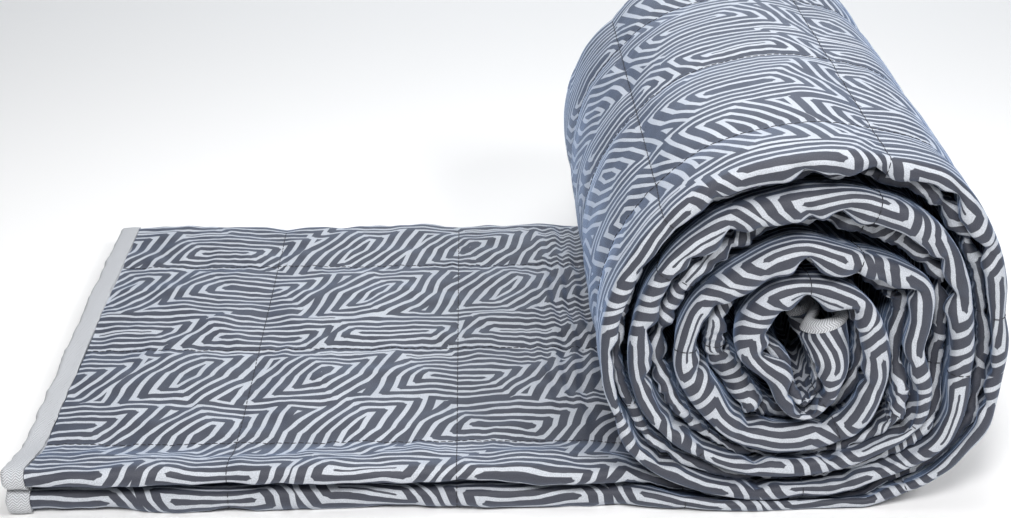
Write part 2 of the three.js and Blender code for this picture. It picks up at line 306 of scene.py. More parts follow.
class Route:
    """The strip's outer face from the loose end to the middle of the roll."""

    SHORTEST_CHORD = 0.01

    def __init__(self) -> None:
        """Samples the route and measures it."""
        rows = self._points()
        path = self._curve(rows[:, :3])
        path[:, 2] = np.maximum(path[:, 2], 0.0)
        steps = np.hypot(np.diff(path[:, 0]), np.diff(path[:, 2]))
        self.s = np.concatenate([[0.0], np.cumsum(steps)])
        self.x = path[:, 0]
        self.z = path[:, 2]
        self.thick = path[:, 1]
        place = np.arange(len(path)) / STEPS_PER_POINT
        before = np.minimum(place.astype(int), len(rows) - 2)
        self.tube = lerp(rows[before, 3], rows[before + 1, 3], smooth(0, 1, place - before))
        direction = np.stack([np.gradient(self.x, self.s), np.gradient(self.z, self.s)])
        direction /= np.hypot(*direction)
        self.dx, self.dz = direction
        self.length = float(self.s[-1])

    @staticmethod
    def _points() -> np.ndarray:
        """The tables as rows of x, thickness, z and fold width."""
        rows = [(p.x, p.thick, 0.0, p.tube) for p in FLAT_STRETCH]
        for turn in TURNS:
            for p in turn:
                phi = math.radians(p.angle)
                x = ROLL_AXIS[0] + p.reach * math.sin(phi)
                z = ROLL_AXIS[1] - p.reach * math.cos(phi)
                rows.append((x, p.thick, z, p.tube))
        rows += [(p.x, p.thick, p.z, p.tube) for p in CORE_FOLD]
        return np.array(rows, float)

    @staticmethod
    def _curve(points: np.ndarray) -> np.ndarray:
        """A centripetal curve through the points.

        Args:
            points: Rows of x, thickness and z.

        Returns:
            Fine samples of the curve, in the same columns.
        """
        ends = np.vstack([2 * points[0] - points[1], points, 2 * points[-1] - points[-2]])
        t = np.linspace(0, 1, STEPS_PER_POINT, endpoint=False)[:, None]
        samples = []
        for i in range(1, len(ends) - 2):
            p0, p1, p2, p3 = ends[i - 1 : i + 3]
            chords = (p1 - p0, p2 - p1, p3 - p2)
            a, b, c = (max(np.linalg.norm(chord) ** 0.5, Route.SHORTEST_CHORD) for chord in chords)
            t1 = ((p1 - p0) / a - (p2 - p0) / (a + b) + (p2 - p1) / b) * b
            t2 = ((p2 - p1) / b - (p3 - p1) / (b + c) + (p3 - p2) / c) * b
            cubic = 2 * p1 - 2 * p2 + t1 + t2
            square = -3 * p1 + 3 * p2 - 2 * t1 - t2
            samples.append(p1 + t1 * t + square * t**2 + cubic * t**3)
        samples.append(points[-1:])
        return np.vstack(samples)

    def at(self, s: np.ndarray) -> Stations:
        """Places at distances along the outer face; before 0 they lie ahead of the loose end.

        Args:
            s: Distances from the loose end.

        Returns:
            The places, each as a column so that sections can be laid across them.
        """
        inside = np.clip(s, 0.0, self.length)
        known = (self.x, self.z, self.dx, self.dz, self.thick, self.tube)
        x, z, dx, dz, thick, tube = (np.interp(inside, self.s, values) for values in known)
        norm = np.hypot(dx, dz)
        dx, dz = dx / norm, dz / norm
        beyond = s - inside
        columns = (s, x + dx * beyond, z + dz * beyond, dx, dz, thick, tube)
        return Stations(*(np.asarray(c, float)[:, None] for c in columns))

    def middle_length(self, start: float, end: float) -> float:
        """Length of the strip between two distances, along the middle of its plies, in metres."""
        place = self.at(np.arange(start, end, 1.0))
        x = place.x - place.dz * place.thick / 2
        z = place.z + place.dx * place.thick / 2
        return MM * float(np.hypot(np.diff(x[:, 0]), np.diff(z[:, 0])).sum())


@dataclass(frozen=True)
class Folds:
    """Sizes of the four plies' folds, in mm, as the strip's section has them.

    Args:
        depth: From the front folds to the back fold.
        ply_gap: Between the two pairs of plies.
        turn_gap: Between one turn of the roll and the next.
        lower_front: Setback of the lower pair's front fold, on the flat stretch and in the roll.
        upper_front: Setback of the upper pair's front fold on the flat stretch.
        upper_from_lower: Space between the two front folds where they nestle in the roll.
        upper_radius: Radius of the upper pair's front fold on the flat stretch.
        neck: How far behind the front the lower pair has its plain thickness on the flat stretch.
        neck_behind_lower: How far that is behind the lower pair's round in the roll.
        lean: How far the lower pair's front fold stands out from its turn.
        lean_reach: How far behind that fold the leaning ends.
        crown_ends: Where the front crown's soft fall and its straight fall end, behind the front.
        crown_softness: Share of the soft fall.
        end_tuck: How far the end in the roll's middle is drawn back.
        flap_setback: How far the long edges stay short of the back fold's round.
        front_wave: Height of the front folds' waviness, and mm of the strip for each radian.
        back_wave: The same for the back fold.
        roll_begins: Where the flat stretch's section turns into the roll's.
        lean_begins: Where the leaning begins and where it is full.
        tuck_begins: Where the drawing back begins and where it is full.
    """

    depth: float = 375.0
    ply_gap: float = 0.4
    turn_gap: float = 0.7
    lower_front: tuple[float, float] = (3.0, -1.0)
    upper_front: float = 0.0
    upper_from_lower: float = 2.8
    upper_radius: float = 5.8
    neck: float = 46.0
    neck_behind_lower: float = 2.0
    lean: float = 4.0
    lean_reach: float = 26.0
    crown_ends: tuple[float, float] = (58.0, 50.0)
    crown_softness: float = 0.55
    end_tuck: float = 9.0
    flap_setback: float = 5.0
    front_wave: tuple[float, float] = (1.6, 23.0)
    back_wave: tuple[float, float] = (1.8, 31.0)
    roll_begins: tuple[float, float] = (315.0, 380.0)
    lean_begins: tuple[float, float] = (1000.0, 1080.0)
    tuck_begins: tuple[float, float] = (2495.0, 2526.0)


@dataclass(frozen=True)
class Columns:
    """How finely each stretch of the section is divided.

    Args:
        upper_fold: Columns round the upper pair's front fold.
        top: Column spacing on the strip's upper face, in mm.
        back_fold: Columns round the back fold.
        under: Column spacing on the strip's outer face, in mm.
        lower_fold: Columns round the lower pair's front fold.
    """

    upper_fold: int
    top: tuple[float, float]
    back_fold: int
    under: tuple[float, float]
    lower_fold: int


class Face(Enum):
    """Stretches of the cloth's outer side, in order from one long edge to the other."""

    UPPER_UNDERSIDE = 0
    UPPER_FOLD = 1
    TOP = 2
    BACK_FOLD = 3
    UNDER = 4
    LOWER_FOLD = 5
    LOWER_TOP = 6


@dataclass
class Section:
    """The cloth's outer side across the strip, for a row of stations.

    Args:
        y: Distance behind the front plane, a row for each station.
        n: Distance inwards from the strip's outer face.
        face: Which stretch each column belongs to.
        round_fold: Share of the way round its front fold, from the strip's outer side inwards.
        ply: Thickness of one ply.
    """

    y: np.ndarray
    n: np.ndarray
    face: np.ndarray
    round_fold: np.ndarray
    ply: np.ndarray

    def across_cloth(self) -> np.ndarray:
        """Distance across the cloth, measured along it from the middle of the back fold."""
        steps = np.hypot(np.diff(self.y, axis=1), np.diff(self.n, axis=1))
        run = np.concatenate([np.zeros((len(steps), 1)), np.cumsum(steps, axis=1)], axis=1)
        back = np.flatnonzero(self.face == Face.BACK_FOLD.value)
        return run - run[:, back[len(back) // 2]][:, None]


class PlySection:
    """Works out the back-and-forth section of the four plies.

    The first three sizes, in mm, say how many columns the faces get: the rounds that the faces
    start and end at, and the least space before a seam. The rest are the columns of the hidden
    faces, as shares of their way.
    """

    FRONT_ROUND = 12.0
    BACK_ROUND = 10.0
    LEAST_SPACE = 2.0
    UPPER_SHELF = (0, 0.3, 0.6, 0.8, 0.93)
    UPPER_SLOPE = (0, 0.35, 0.7)
    LOWER_SLOPE = (0.25, 0.5, 0.75, 1)
    LOWER_SHELF = (0.05, 0.15, 0.4, 1)

    def __init__(self, folds: Folds, quilting: Quilting, columns: Columns) -> None:
        """Keeps the sizes.

        Args:
            folds: Sizes of the folds.
            quilting: Where the lengthwise seams run, so that a column lies on each.
            columns: How finely to divide.
        """
        self.folds = folds
        self.quilting = quilting
        self.columns = columns

    def _across(self, front: np.ndarray, back: np.ndarray, spacing: tuple[float, float]) -> np.ndarray:
        """Columns from the front fold to the back fold, with one on each lengthwise seam.

        Args:
            front: Where the front fold's round ends.
            back: Where the back fold's round begins.
            spacing: Spacing before the first seam and behind it.

        Returns:
            Distances behind the front plane, a row for each station.
        """
        seams = self.quilting.length_lines
        stops = [front, *(np.maximum(front + self.LEAST_SPACE, y) for y in seams), back]
        typical = [self.FRONT_ROUND, *seams, self.folds.depth - self.BACK_ROUND]
        parts = []
        for k in range(len(stops) - 1):
            step = spacing[0] if k == 0 else spacing[1]
            count = max(1, round((typical[k + 1] - typical[k]) / step))
            shares = np.arange(0 if k else 1, count) / count
            parts.append(lerp(stops[k], stops[k + 1], shares[None, :]))
        return np.hstack(parts)

    @staticmethod
    def _arc(
        y: np.ndarray, n: np.ndarray, radius: np.ndarray, turn: tuple[float, float], count: int
    ) -> tuple[np.ndarray, np.ndarray]:
        """A round of the section.

        Args:
            y: Its middle behind the front plane.
            n: Its middle inwards from the outer face.
            radius: Its radius.
            turn: Angles that it runs from and to, in degrees.
            count: Columns in it.

        Returns:
            Its places.
        """
        angle = np.radians(np.linspace(*turn, count))[None]
        return y + radius * np.cos(angle), n + radius * np.sin(angle)

    @staticmethod
    def _line(start: tuple, end: tuple, shares: tuple[float, ...]) -> tuple[np.ndarray, np.ndarray]:
        """Places at shares of the way from one point of the section to another."""
        share = np.array([shares], float)
        return lerp(start[0], end[0], share), lerp(start[1], end[1], share)

    def outer_side(self, place: Stations) -> Section:
        """The cloth's outer side from the upper pair's long edge round to the lower pair's.

        Args:
            place: Stations along the strip.

        Returns:
            The section at each of them.
        """
        f = self.folds
        columns = self.columns
        s = place.s
        rolled = smooth(*f.roll_begins, s)
        lean = f.lean * smooth(*f.lean_begins, s)
        top = place.thick - f.turn_gap * rolled
        middle = top / 2
        under_upper = middle + f.ply_gap / 2
        over_lower = middle - f.ply_gap / 2
        ply = top / 4 - 0.75 * f.ply_gap
        wave = f.front_wave[0] * np.sin(s / f.front_wave[1])

        lower_radius = place.tube / 2
        lower_front = lerp(*f.lower_front, rolled) + f.end_tuck * smooth(*f.tuck_begins, s)
        lower_y = lower_front + wave + lower_radius
        lower_n = lower_radius - lean
        neck_y = lerp(f.neck, lower_y + lower_radius + f.neck_behind_lower, rolled)
        neck_slope = (lower_n + lower_radius - over_lower) / (neck_y - lower_y)

        upper_radius = lerp(f.upper_radius, (top - under_upper) / 2, rolled)
        reach = lower_radius + upper_radius + f.upper_from_lower
        above = under_upper + upper_radius - lower_n
        nestled_y = lower_y + np.sqrt(np.maximum(reach**2 - above**2, 0))
        upper_y = lerp(f.upper_front - wave + upper_radius, nestled_y, rolled)
        slope_under = np.where(upper_y < neck_y, np.maximum(neck_slope, 0.0), 0.0)
        rise = slope_under * np.maximum(neck_y - upper_y, 0)
        upper_n = under_upper + rise + upper_radius * np.hypot(1, slope_under)
        upper_neck_y = np.maximum(neck_y, upper_y + 1)

        back_y = f.depth - middle + f.back_wave[0] * np.sin(s / f.back_wave[1])
        flap_y = back_y - f.flap_setback

        top_y = self._across(upper_y, back_y, columns.top)
        soft_end, straight_end = f.crown_ends
        soft = 1 - smooth(0, 1, (top_y - upper_y) / (soft_end - upper_y))
        straight = np.clip(1 - (top_y - upper_y) / (straight_end - upper_y), 0, 1)
        top_n = top + (upper_n + upper_radius - top) * lerp(straight, soft, f.crown_softness)

        under_y = self._across(lower_y, back_y, columns.under)[:, ::-1]
        leaning = 1 - smooth(0, 1, (under_y - lower_y) / f.lean_reach)

        edge = (flap_y, under_upper)
        upper_neck = (upper_neck_y, under_upper)
        upper_foot = (upper_y, upper_n - upper_radius)
        lower_crown = (lower_y, lower_n + lower_radius)
        lower_neck = (neck_y, over_lower)
        lower_edge = (flap_y, over_lower)
        upper_fold = self._arc(upper_y, upper_n, upper_radius, (270, 90), columns.upper_fold)
        back_fold = self._arc(back_y, middle, middle, (90, -90), columns.back_fold)
        lower_fold = self._arc(lower_y, lower_n, lower_radius, (270, 90), columns.lower_fold)
        stretches = [
            (Face.UPPER_UNDERSIDE, self._line(edge, upper_neck, self.UPPER_SHELF)),
            (Face.UPPER_UNDERSIDE, self._line(upper_neck, upper_foot, self.UPPER_SLOPE)),
            (Face.UPPER_FOLD, upper_fold),
            (Face.TOP, (top_y, top_n)),
            (Face.BACK_FOLD, back_fold),
            (Face.UNDER, (under_y, -lean * leaning)),
            (Face.LOWER_FOLD, lower_fold),
            (Face.LOWER_TOP, self._line(lower_crown, lower_neck, self.LOWER_SLOPE)),
            (Face.LOWER_TOP, self._line(lower_neck, lower_edge, self.LOWER_SHELF)),
        ]
        face = np.concatenate([np.full(part[0].shape[1], kind.value) for kind, part in stretches])
        y = np.hstack([part[0] for _, part in stretches])
        n = np.hstack([part[1] for _, part in stretches])
        round_fold = np.zeros(len(face))
        lower = face == Face.LOWER_FOLD.value
        upper = face == Face.UPPER_FOLD.value
        round_fold[lower] = np.linspace(0, 1, lower.sum())
        round_fold[upper] = np.linspace(0, 1, upper.sum())
        round_fold[face == Face.LOWER_TOP.value] = 1
        return Section(y, n, face, round_fold, ply)


class Crease(NamedTuple):
    """A sharp fold where a pair of plies bends: where along the strip, how deep, wide and slanted, in mm."""

    s: float
    depth: float
    width: float
    slant: float


CREASES = [
    Crease(582, 3, 7, 0.5),
    Crease(602, 1.6, 6, -0.4),
    Crease(682, 4.5, 9, 0.7),
    Crease(722, 5.2, 9, -0.5),
    Crease(774, 5.8, 11, 0.5),
    Crease(817, 4.5, 9, -0.8),
    Crease(868, 2.2, 8, 0.6),
    Crease(931, 2, 9, -0.4),
    Crease(987, 2.6, 8, 0.5),
    Crease(1075, 2.8, 8, 0.6),
    Crease(1133, 2.6, 8, -0.5),
    Crease(1188, 2, 7, 0.4),
    Crease(1343, 5, 9, 0.6),
    Crease(1368, 3.2, 6, -0.5),
    Crease(1440, 5.8, 11, 0.5),
    Crease(1464, 3.2, 6, -0.6),
    Crease(1508, 5.5, 9, 0.4),
    Crease(1537, 3, 6, -0.5),
    Crease(1591, 5.2, 9, 0.6),
    Crease(1623, 3.2, 6, -0.4),
    Crease(1664, 2.4, 7, 0.6),
    Crease(1717, 3, 7, -0.6),
    Crease(1765, 2.6, 7, 0.4),
    Crease(1809, 3.2, 7, -0.5),
    Crease(1860, 2.4, 7, 0.4),
    Crease(1908, 6, 11, 0.5),
    Crease(1948, 2.6, 7, -0.5),
    Crease(1977, 8, 12, 0.2),
    Crease(2041, 2.4, 7, 0.5),
    Crease(2096, 3, 7, -0.5),
    Crease(2147, 2.8, 7, 0.5),
    Crease(2204, 3, 7, -0.4),
    Crease(2253, 2.6, 7, 0.5),
    Crease(2308, 5.5, 9, 0.4),
    Crease(2343, 5.8, 11, -0.4),
    Crease(2412, 5.2, 11, 0.5),
    Crease(2459, 5.2, 9, 0.1),
]


@dataclass(frozen=True)
class ReliefSizes:
    """Heights and widths of the cloth's relief, in mm.

    A pair is for the roll and for the flat stretch, except where the text says otherwise.

    Args:
        flat_ends: Where the flat stretch gives way to the roll.
        seam_share: Share of a seam's sink.
        pillow: Height of a quilted square's crown.
        pillow_level: Share of that height that the plain section already has.
        pillow_reach: How far from a seam the crown is full.
        pillow_softness: How much rounder the crowns of the flat stretch are.
        billow: Height of the soft unevenness.
        billow_cell: Its size along the strip and across it.
        small_billow: Height of the finer unevenness.
        small_billow_cell: Its size.
        billow_held: Share of the unevenness that a seam holds down.
        pucker: Height of the puckers beside the seams.
        pucker_cell: Their length along the pull of the thread and their width.
        pucker_reach: How far from the seam they fade.
        ripple: Height of the ripples where the flat stretch runs into the roll.
        ripple_place: Their middle along the strip and how far they spread.
        ripple_begins: Where they begin and are full, behind the front.
        ripple_width: Width of a ripple, as mm for each radian.
        ripple_wander: How many radians the ripples wander.
        ripple_cell: Size of that wandering along the strip and across it.
        ripple_slant: Mm across the strip in which a ripple runs one radian aside.
        yarn: Height of the finest unevenness, on the flat stretch's top.
        yarn_cell: Its size along the strip and across it.
        flat_draw: How far the pairs draw in between each other on the flat stretch.
        flat_draw_keeps: Share of the relief that is left there.
        turn_draw: How far turns and pairs draw in beside the front folds of the roll.
        draw_behind: How far behind the front that reaches.
        full_ply: Thickness of a ply that leaves room to draw in fully.
        hidden_begins: Where along the strip the turns start to lie inside others.
        tube_ends: Where the front folds' creases fade, behind the front.
        facet: Height of the broad facets on the front folds.
        facet_cell: Their size along the strip and across it.
        facet_slant: Mm along the strip for each facet that they run aside.
        crumple: Height of the crumples on the upper pair's fold.
        crumple_cell: Their size along the strip and across it.
        crumple_slant: Mm along the strip for each crumple that they run aside.
        notch: Power that gives a crease its sharp bottom.
        shoulder: Height of the cloth pushed up beside a crease, as a share of its depth.
        shoulder_place: Its distance from the crease and its spread, in widths of the crease.
        upper_crease: Share of a crease's depth that the upper pair's fold takes.
        inward: Where a crease begins and is full, as shares of the way round the fold.
        crease_level: How far inwards a crease lies at its stated distance along the strip.
    """

    flat_ends: tuple[float, float] = (300.0, 400.0)
    seam_share: tuple[float, float] = (1.0, 0.85)
    pillow: float = 1.7
    pillow_level: float = 0.55
    pillow_reach: tuple[float, float] = (17.0, 24.0)
    pillow_softness: float = 0.8
    billow: tuple[float, float] = (0.8, 1.7)
    billow_cell: tuple[float, float] = (34.0, 30.0)
    small_billow: tuple[float, float] = (0.32, 0.9)
    small_billow_cell: float = 15.0
    billow_held: tuple[float, float] = (0.8, 0.4)
    pucker: tuple[float, float] = (0.6, 0.95)
    pucker_cell: tuple[float, float] = (30.0, 6.4)
    pucker_reach: float = 14.0
    ripple: float = 1.4
    ripple_place: tuple[float, float] = (322.0, 26.0)
    ripple_begins: tuple[float, float] = (40.0, 150.0)
    ripple_width: float = 1.7
    ripple_wander: float = 2.2
    ripple_cell: tuple[float, float] = (30.0, 60.0)
    ripple_slant: float = 55.0
    yarn: float = 0.35
    yarn_cell: tuple[float, float] = (9.0, 12.0)
    flat_draw: float = 2.6
    flat_draw_keeps: float = 0.6
    turn_draw: float = 1.15
    draw_behind: float = 90.0
    full_ply: float = 4.0
    hidden_begins: tuple[float, float] = (1120.0, 1180.0)
    tube_ends: tuple[float, float] = (18.0, 48.0)
    facet: float = 1.0
    facet_cell: tuple[float, float] = (21.0, 24.0)
    facet_slant: float = 60.0
    crumple: float = 1.3
    crumple_cell: tuple[float, float] = (9.0, 11.0)
    crumple_slant: float = 30.0
    notch: float = 1.4
    shoulder: float = 0.28
    shoulder_place: tuple[float, float] = (1.35, 0.5)
    upper_crease: float = 0.72
    inward: tuple[float, float] = (0.15, 0.85)
    crease_level: float = 8.0


class ClothRelief:
    """How far the cloth stands out from its plain section: quilting, creases, puckers and ripples."""

    FAR_FROM_SEAM = 60.0

    def __init__(self, quilting: Quilting) -> None:
        """Seeds the noises.

        Args:
            quilting: The seams that the cloth sinks at.
        """
        self.quilting = quilting
        self.sizes = ReliefSizes()
        self.billow = Noise(11)
        self.pucker = Noise(23)
        self.crumple = Noise(37)
        self.facet = Noise(41)
        self.fine = Noise(53)

    def height(self, s: np.ndarray, v: np.ndarray, section: Section) -> np.ndarray:
        """Height of the outer side above its plain section.

        Args:
            s: Distance along the strip, a row for each station.
            v: Distance across the cloth.
            section: The plain section.

        Returns:
            Heights in mm, positive outwards.
        """
        sizes = self.sizes
        on_tube = self._on_tube(section)
        flat = 1 - smooth(*sizes.flat_ends, s)
        to_cross = self.quilting.from_cross_seam(s)
        to_line = self.quilting.from_length_seam(section.y)
        to_line = np.where(on_tube > 0.5, self.FAR_FROM_SEAM, to_line)
        height = self._quilted(s, v, section, on_tube, flat, to_cross, to_line)
        height = height + self._ripples(s, v, section, flat)

        room = np.minimum(1.0, section.ply / sizes.full_ply)
        drawn = flat * self._between_pairs(section)
        height = lerp(height, sizes.flat_draw_keeps * height - sizes.flat_draw * room, drawn)
        height = height + (1 - flat) * self._tube_relief(s, v, section, on_tube)
        return height - (1 - flat) * room * self._drawn_in(s, section)

    def _quilted(
        self,
        s: np.ndarray,
        v: np.ndarray,
        section: Section,
        on_tube: np.ndarray,
        flat: np.ndarray,
        to_cross: np.ndarray,
        to_line: np.ndarray,
    ) -> np.ndarray:
        """Seams, the crowns between them, their puckers and the cloth's soft unevenness.

        Args:
            s: Distance along the strip.
            v: Distance across the cloth.
            section: The plain section.
            on_tube: Share of being on a front fold.
            flat: Share of being on the flat stretch.
            to_cross: Distance to the nearest cross seam.
            to_line: Distance to the nearest lengthwise seam.

        Returns:
            Heights in mm.
        """
        sizes = self.sizes
        q = self.quilting
        seam = np.maximum(q.hollow(to_cross), q.hollow(to_line))
        height = -q.sink * lerp(*sizes.seam_share, flat) * seam

        reach = lerp(*sizes.pillow_reach, flat)
        sharp = (1 - np.exp(-to_cross / reach)) * (1 - np.exp(-to_line / reach))
        soft = (1 - np.exp(-((to_cross / reach) ** 2))) * (1 - np.exp(-((to_line / reach) ** 2)))
        pillow = lerp(sharp, soft, sizes.pillow_softness * flat)
        shown = np.isin(section.face, [Face.TOP.value, Face.UNDER.value, Face.BACK_FOLD.value])
        crown = sizes.pillow * (pillow - sizes.pillow_level) * (1 - on_tube)
        height = height + np.where(shown, crown, 0)

        cell_s, cell_v = sizes.billow_cell
        cell = sizes.small_billow_cell
        billow = self.billow(s / cell_s, v / cell_v) * lerp(*sizes.billow, flat)
        billow += self.billow(s / cell + 9, v / cell) * lerp(*sizes.small_billow, flat)
        height = height + billow * (1 - lerp(*sizes.billow_held, flat) * seam)

        length, width = sizes.pucker_cell
        beside_cross = self.pucker(s / length, v / width) * np.exp(-to_cross / sizes.pucker_reach)
        beside_line = self.pucker(s / width + 31, v / length) * np.exp(-to_line / sizes.pucker_reach)
        return height + lerp(*sizes.pucker, flat) * (beside_cross + beside_line)

    def _ripples(self, s: np.ndarray, v: np.ndarray, section: Section, flat: np.ndarray) -> np.ndarray:
        """Ripples of the top where it runs into the roll, and its finest unevenness."""
        sizes = self.sizes
        middle, spread = sizes.ripple_place
        near_roll = np.exp(-(((s - middle) / spread) ** 2)) * smooth(*sizes.ripple_begins, section.y)
        cell_s, cell_v = sizes.ripple_cell
        wander = sizes.ripple_wander * self.facet(s / cell_s, v / cell_v) + v / sizes.ripple_slant
        ripple = sizes.ripple * np.sin(s / sizes.ripple_width + wander) * near_roll
        yarn = sizes.yarn * self.fine(s / sizes.yarn_cell[0], v / sizes.yarn_cell[1])
        return np.where(section.face == Face.TOP.value, ripple + flat * yarn, 0)

    @staticmethod
    def _between_pairs(section: Section) -> np.ndarray:
        """1 where the two pairs of plies face each other, falling to 0 round their front folds."""
        between = np.isin(section.face, [Face.UPPER_UNDERSIDE.value, Face.LOWER_TOP.value])
        upper = section.face == Face.UPPER_FOLD.value
        lower = section.face == Face.LOWER_FOLD.value
        drawn = np.where(between, 1.0, 0) + np.where(upper, 1 - smooth(0.0, 0.4, section.round_fold), 0)
        return drawn + np.where(lower, smooth(0.62, 1.0, section.round_fold), 0)

    def _drawn_in(self, s: np.ndarray, section: Section) -> np.ndarray:
        """How far the cloth draws back beside the front folds, where turns and pairs lie together."""
        hidden = smooth(*self.sizes.hidden_begins, s)
        lower = section.face == Face.LOWER_FOLD.value
        upper = section.face == Face.UPPER_FOLD.value
        between = np.isin(section.face, [Face.UPPER_UNDERSIDE.value, Face.LOWER_TOP.value])
        near = section.y < self.sizes.draw_behind
        outwards = 1 - smooth(0.0, 0.3, section.round_fold)
        inwards = smooth(0.7, 1.0, section.round_fold)
        depth = np.where(lower, hidden * outwards + inwards, 0.0)
        depth = depth + np.where(upper, outwards + inwards, 0)
        depth = depth + np.where((section.face == Face.UNDER.value) & near, hidden, 0)
        depth = depth + np.where((section.face == Face.TOP.value) & near, 1.0, 0)
        return self.sizes.turn_draw * (depth + np.where(between & near, 1.0, 0))

    def _on_tube(self, section: Section) -> np.ndarray:
        """1 on the front folds, falling to 0 some way behind them."""
        outer = np.isin(section.face, [Face.LOWER_FOLD.value, Face.UPPER_FOLD.value, Face.LOWER_TOP.value])
        behind = 1 - smooth(*self.sizes.tube_ends, section.y)
        return np.where(outer, 1.0, behind) * behind

    def _tube_relief(
        self, s: np.ndarray, v: np.ndarray, section: Section, on_tube: np.ndarray
    ) -> np.ndarray:
        """Creases and crumples of the front folds in the roll.

        Args:
            s: Distance along the strip.
            v: Distance across the cloth.
            section: The plain section.
            on_tube: Share of being on a front fold.

        Returns:
            Heights in mm.
        """
        sizes = self.sizes
        lower = np.isin(section.face, [Face.LOWER_FOLD.value, Face.LOWER_TOP.value])
        upper = np.isin(section.face, [Face.UPPER_FOLD.value, Face.UPPER_UNDERSIDE.value, Face.TOP.value])
        inward = smooth(*sizes.inward, section.round_fold)
        creased = np.where(lower, inward, 0) + np.where(upper, sizes.upper_crease, 0)
        beside, spread = sizes.shoulder_place
        total = np.zeros(np.broadcast(s, v).shape)
        for crease in CREASES:
            place = s - crease.s - crease.slant * (section.n - sizes.crease_level)
            t = np.abs(place) / crease.width
            notch = np.maximum(0, 1 - t) ** sizes.notch
            shoulder = sizes.shoulder * np.exp(-(((t - beside) / spread) ** 2))
            total += crease.depth * (shoulder - notch) * creased

        cell_s, cell_v = sizes.facet_cell
        facets = self.facet(s / cell_s, v / cell_v + s / sizes.facet_slant)
        total += sizes.facet * facets * np.where(lower, lerp(0.4, 1.0, inward), 0.3)
        cell_s, cell_v = sizes.crumple_cell
        crumple = 1 - 2 * np.abs(self.crumple(s / cell_s, v / cell_v + s / sizes.crumple_slant))
        total += sizes.crumple * crumple * np.where(upper, 1.0, 0)
        return total * on_tube


class Loft:
    """Lays grids of places into closed meshes."""

    @staticmethod
    def above_floor(places: np.ndarray, height: float) -> np.ndarray:
        """Places lifted to at least a height above the floor, in mm."""
        lifted = places.copy()
        lifted[..., 2] = np.maximum(places[..., 2], MM * height)
        return lifted

    @staticmethod
    def cloth(
        name: str,
        sides: tuple[np.ndarray, np.ndarray],
        keep: np.ndarray,
        on_cloth: tuple[np.ndarray, np.ndarray],
        sharp: bool,
    ) -> bpy.types.Object:
        """A closed body of cloth between its outer and its inner side.

        Args:
            name: Name of the piece.
            sides: Places of the outer side, and of the inner side in the kept columns.
            keep: Columns of the outer side that the inner side repeats.
            on_cloth: Distances along the strip and across the cloth, in mm.
            sharp: Whether the two sides meet at sharp edges.

        Returns:
            The new object.
        """
        outer, inner = sides
        loop = np.concatenate([outer, inner[:, ::-1]], axis=1)
        flat = MM * np.stack(np.broadcast_arrays(*on_cloth), axis=-1)
        uv = np.concatenate([flat, flat[:, keep][:, ::-1]], axis=1)
        count = outer.shape[1]
        return Loft.ribbon(name, loop, uv, [0, count - 1, count, loop.shape[1] - 1] if sharp else [])

    @staticmethod
    def ribbon(
        name: str, places: np.ndarray, uv: np.ndarray, sharp_columns: Sequence[int]
    ) -> bpy.types.Object:
        """A closed body through a row of closed sections.

        Args:
            name: Name of the piece.
            places: Stations by columns by 3, in metres.
            uv: Stations by columns by 2, the cloth's own coordinates in metres.
            sharp_columns: Columns where the surface turns sharply.

        Returns:
            The new object.
        """
        rows, columns = places.shape[:2]
        closed = np.concatenate([places, places[:, :1]], axis=1)
        closed_uv = np.concatenate([uv, uv[:, -1:]], axis=1)
        bm = bmesh.new()
        bmesh.ops.create_grid(bm, x_segments=columns, y_segments=rows - 1, size=1)
        bm.verts.ensure_lookup_table()
        for vert, place in zip(bm.verts, closed.reshape(-1, 3).tolist()):
            vert.co = place
        layer = bm.loops.layers.uv.new(CLOTH_MAP)
        flat_uv = closed_uv.reshape(-1, 2).tolist()
        for face in bm.faces:
            face.smooth = True
            for loop in face.loops:
                loop[layer].uv = flat_uv[loop.vert.index]
        row_ends = [r * (columns + 1) for r in range(rows)]
        seam = [bm.verts[i] for i in row_ends] + [bm.verts[i + columns] for i in row_ends]
        marks = {bm.verts[i + c] for i in row_ends for c in sharp_columns}
        for edge in bm.edges:
            if edge.verts[0] in marks and edge.verts[1] in marks:
                edge.smooth = False
        bmesh.ops.remove_doubles(bm, verts=seam, dist=1e-7)
        rim = [edge for edge in bm.edges if edge.is_boundary]
        for edge in rim:
            edge.smooth = False
        caps = bmesh.ops.holes_fill(bm, edges=rim, sides=0)["faces"]
        bmesh.ops.triangulate(bm, faces=caps, ngon_method="EAR_CLIP")
        bmesh.ops.recalc_face_normals(bm, faces=bm.faces)
        return Loft.finish(bm, name)

    @staticmethod
    def finish(bm: bmesh.types.BMesh, name: str) -> bpy.types.Object:
        """Turns a bmesh into an object at the origin."""
        mesh = bpy.data.meshes.new(name)
        bm.to_mesh(mesh)
        bm.free()
        piece = bpy.data.objects.new(name, mesh)
        bpy.context.scene.collection.objects.link(piece)
        return piece


class Unevenness(NamedTuple):
    """A noise in the loose end's line, in mm: seed, height, and size across and through the plies."""

    seed: int
    height: float
    across: float
    through: float


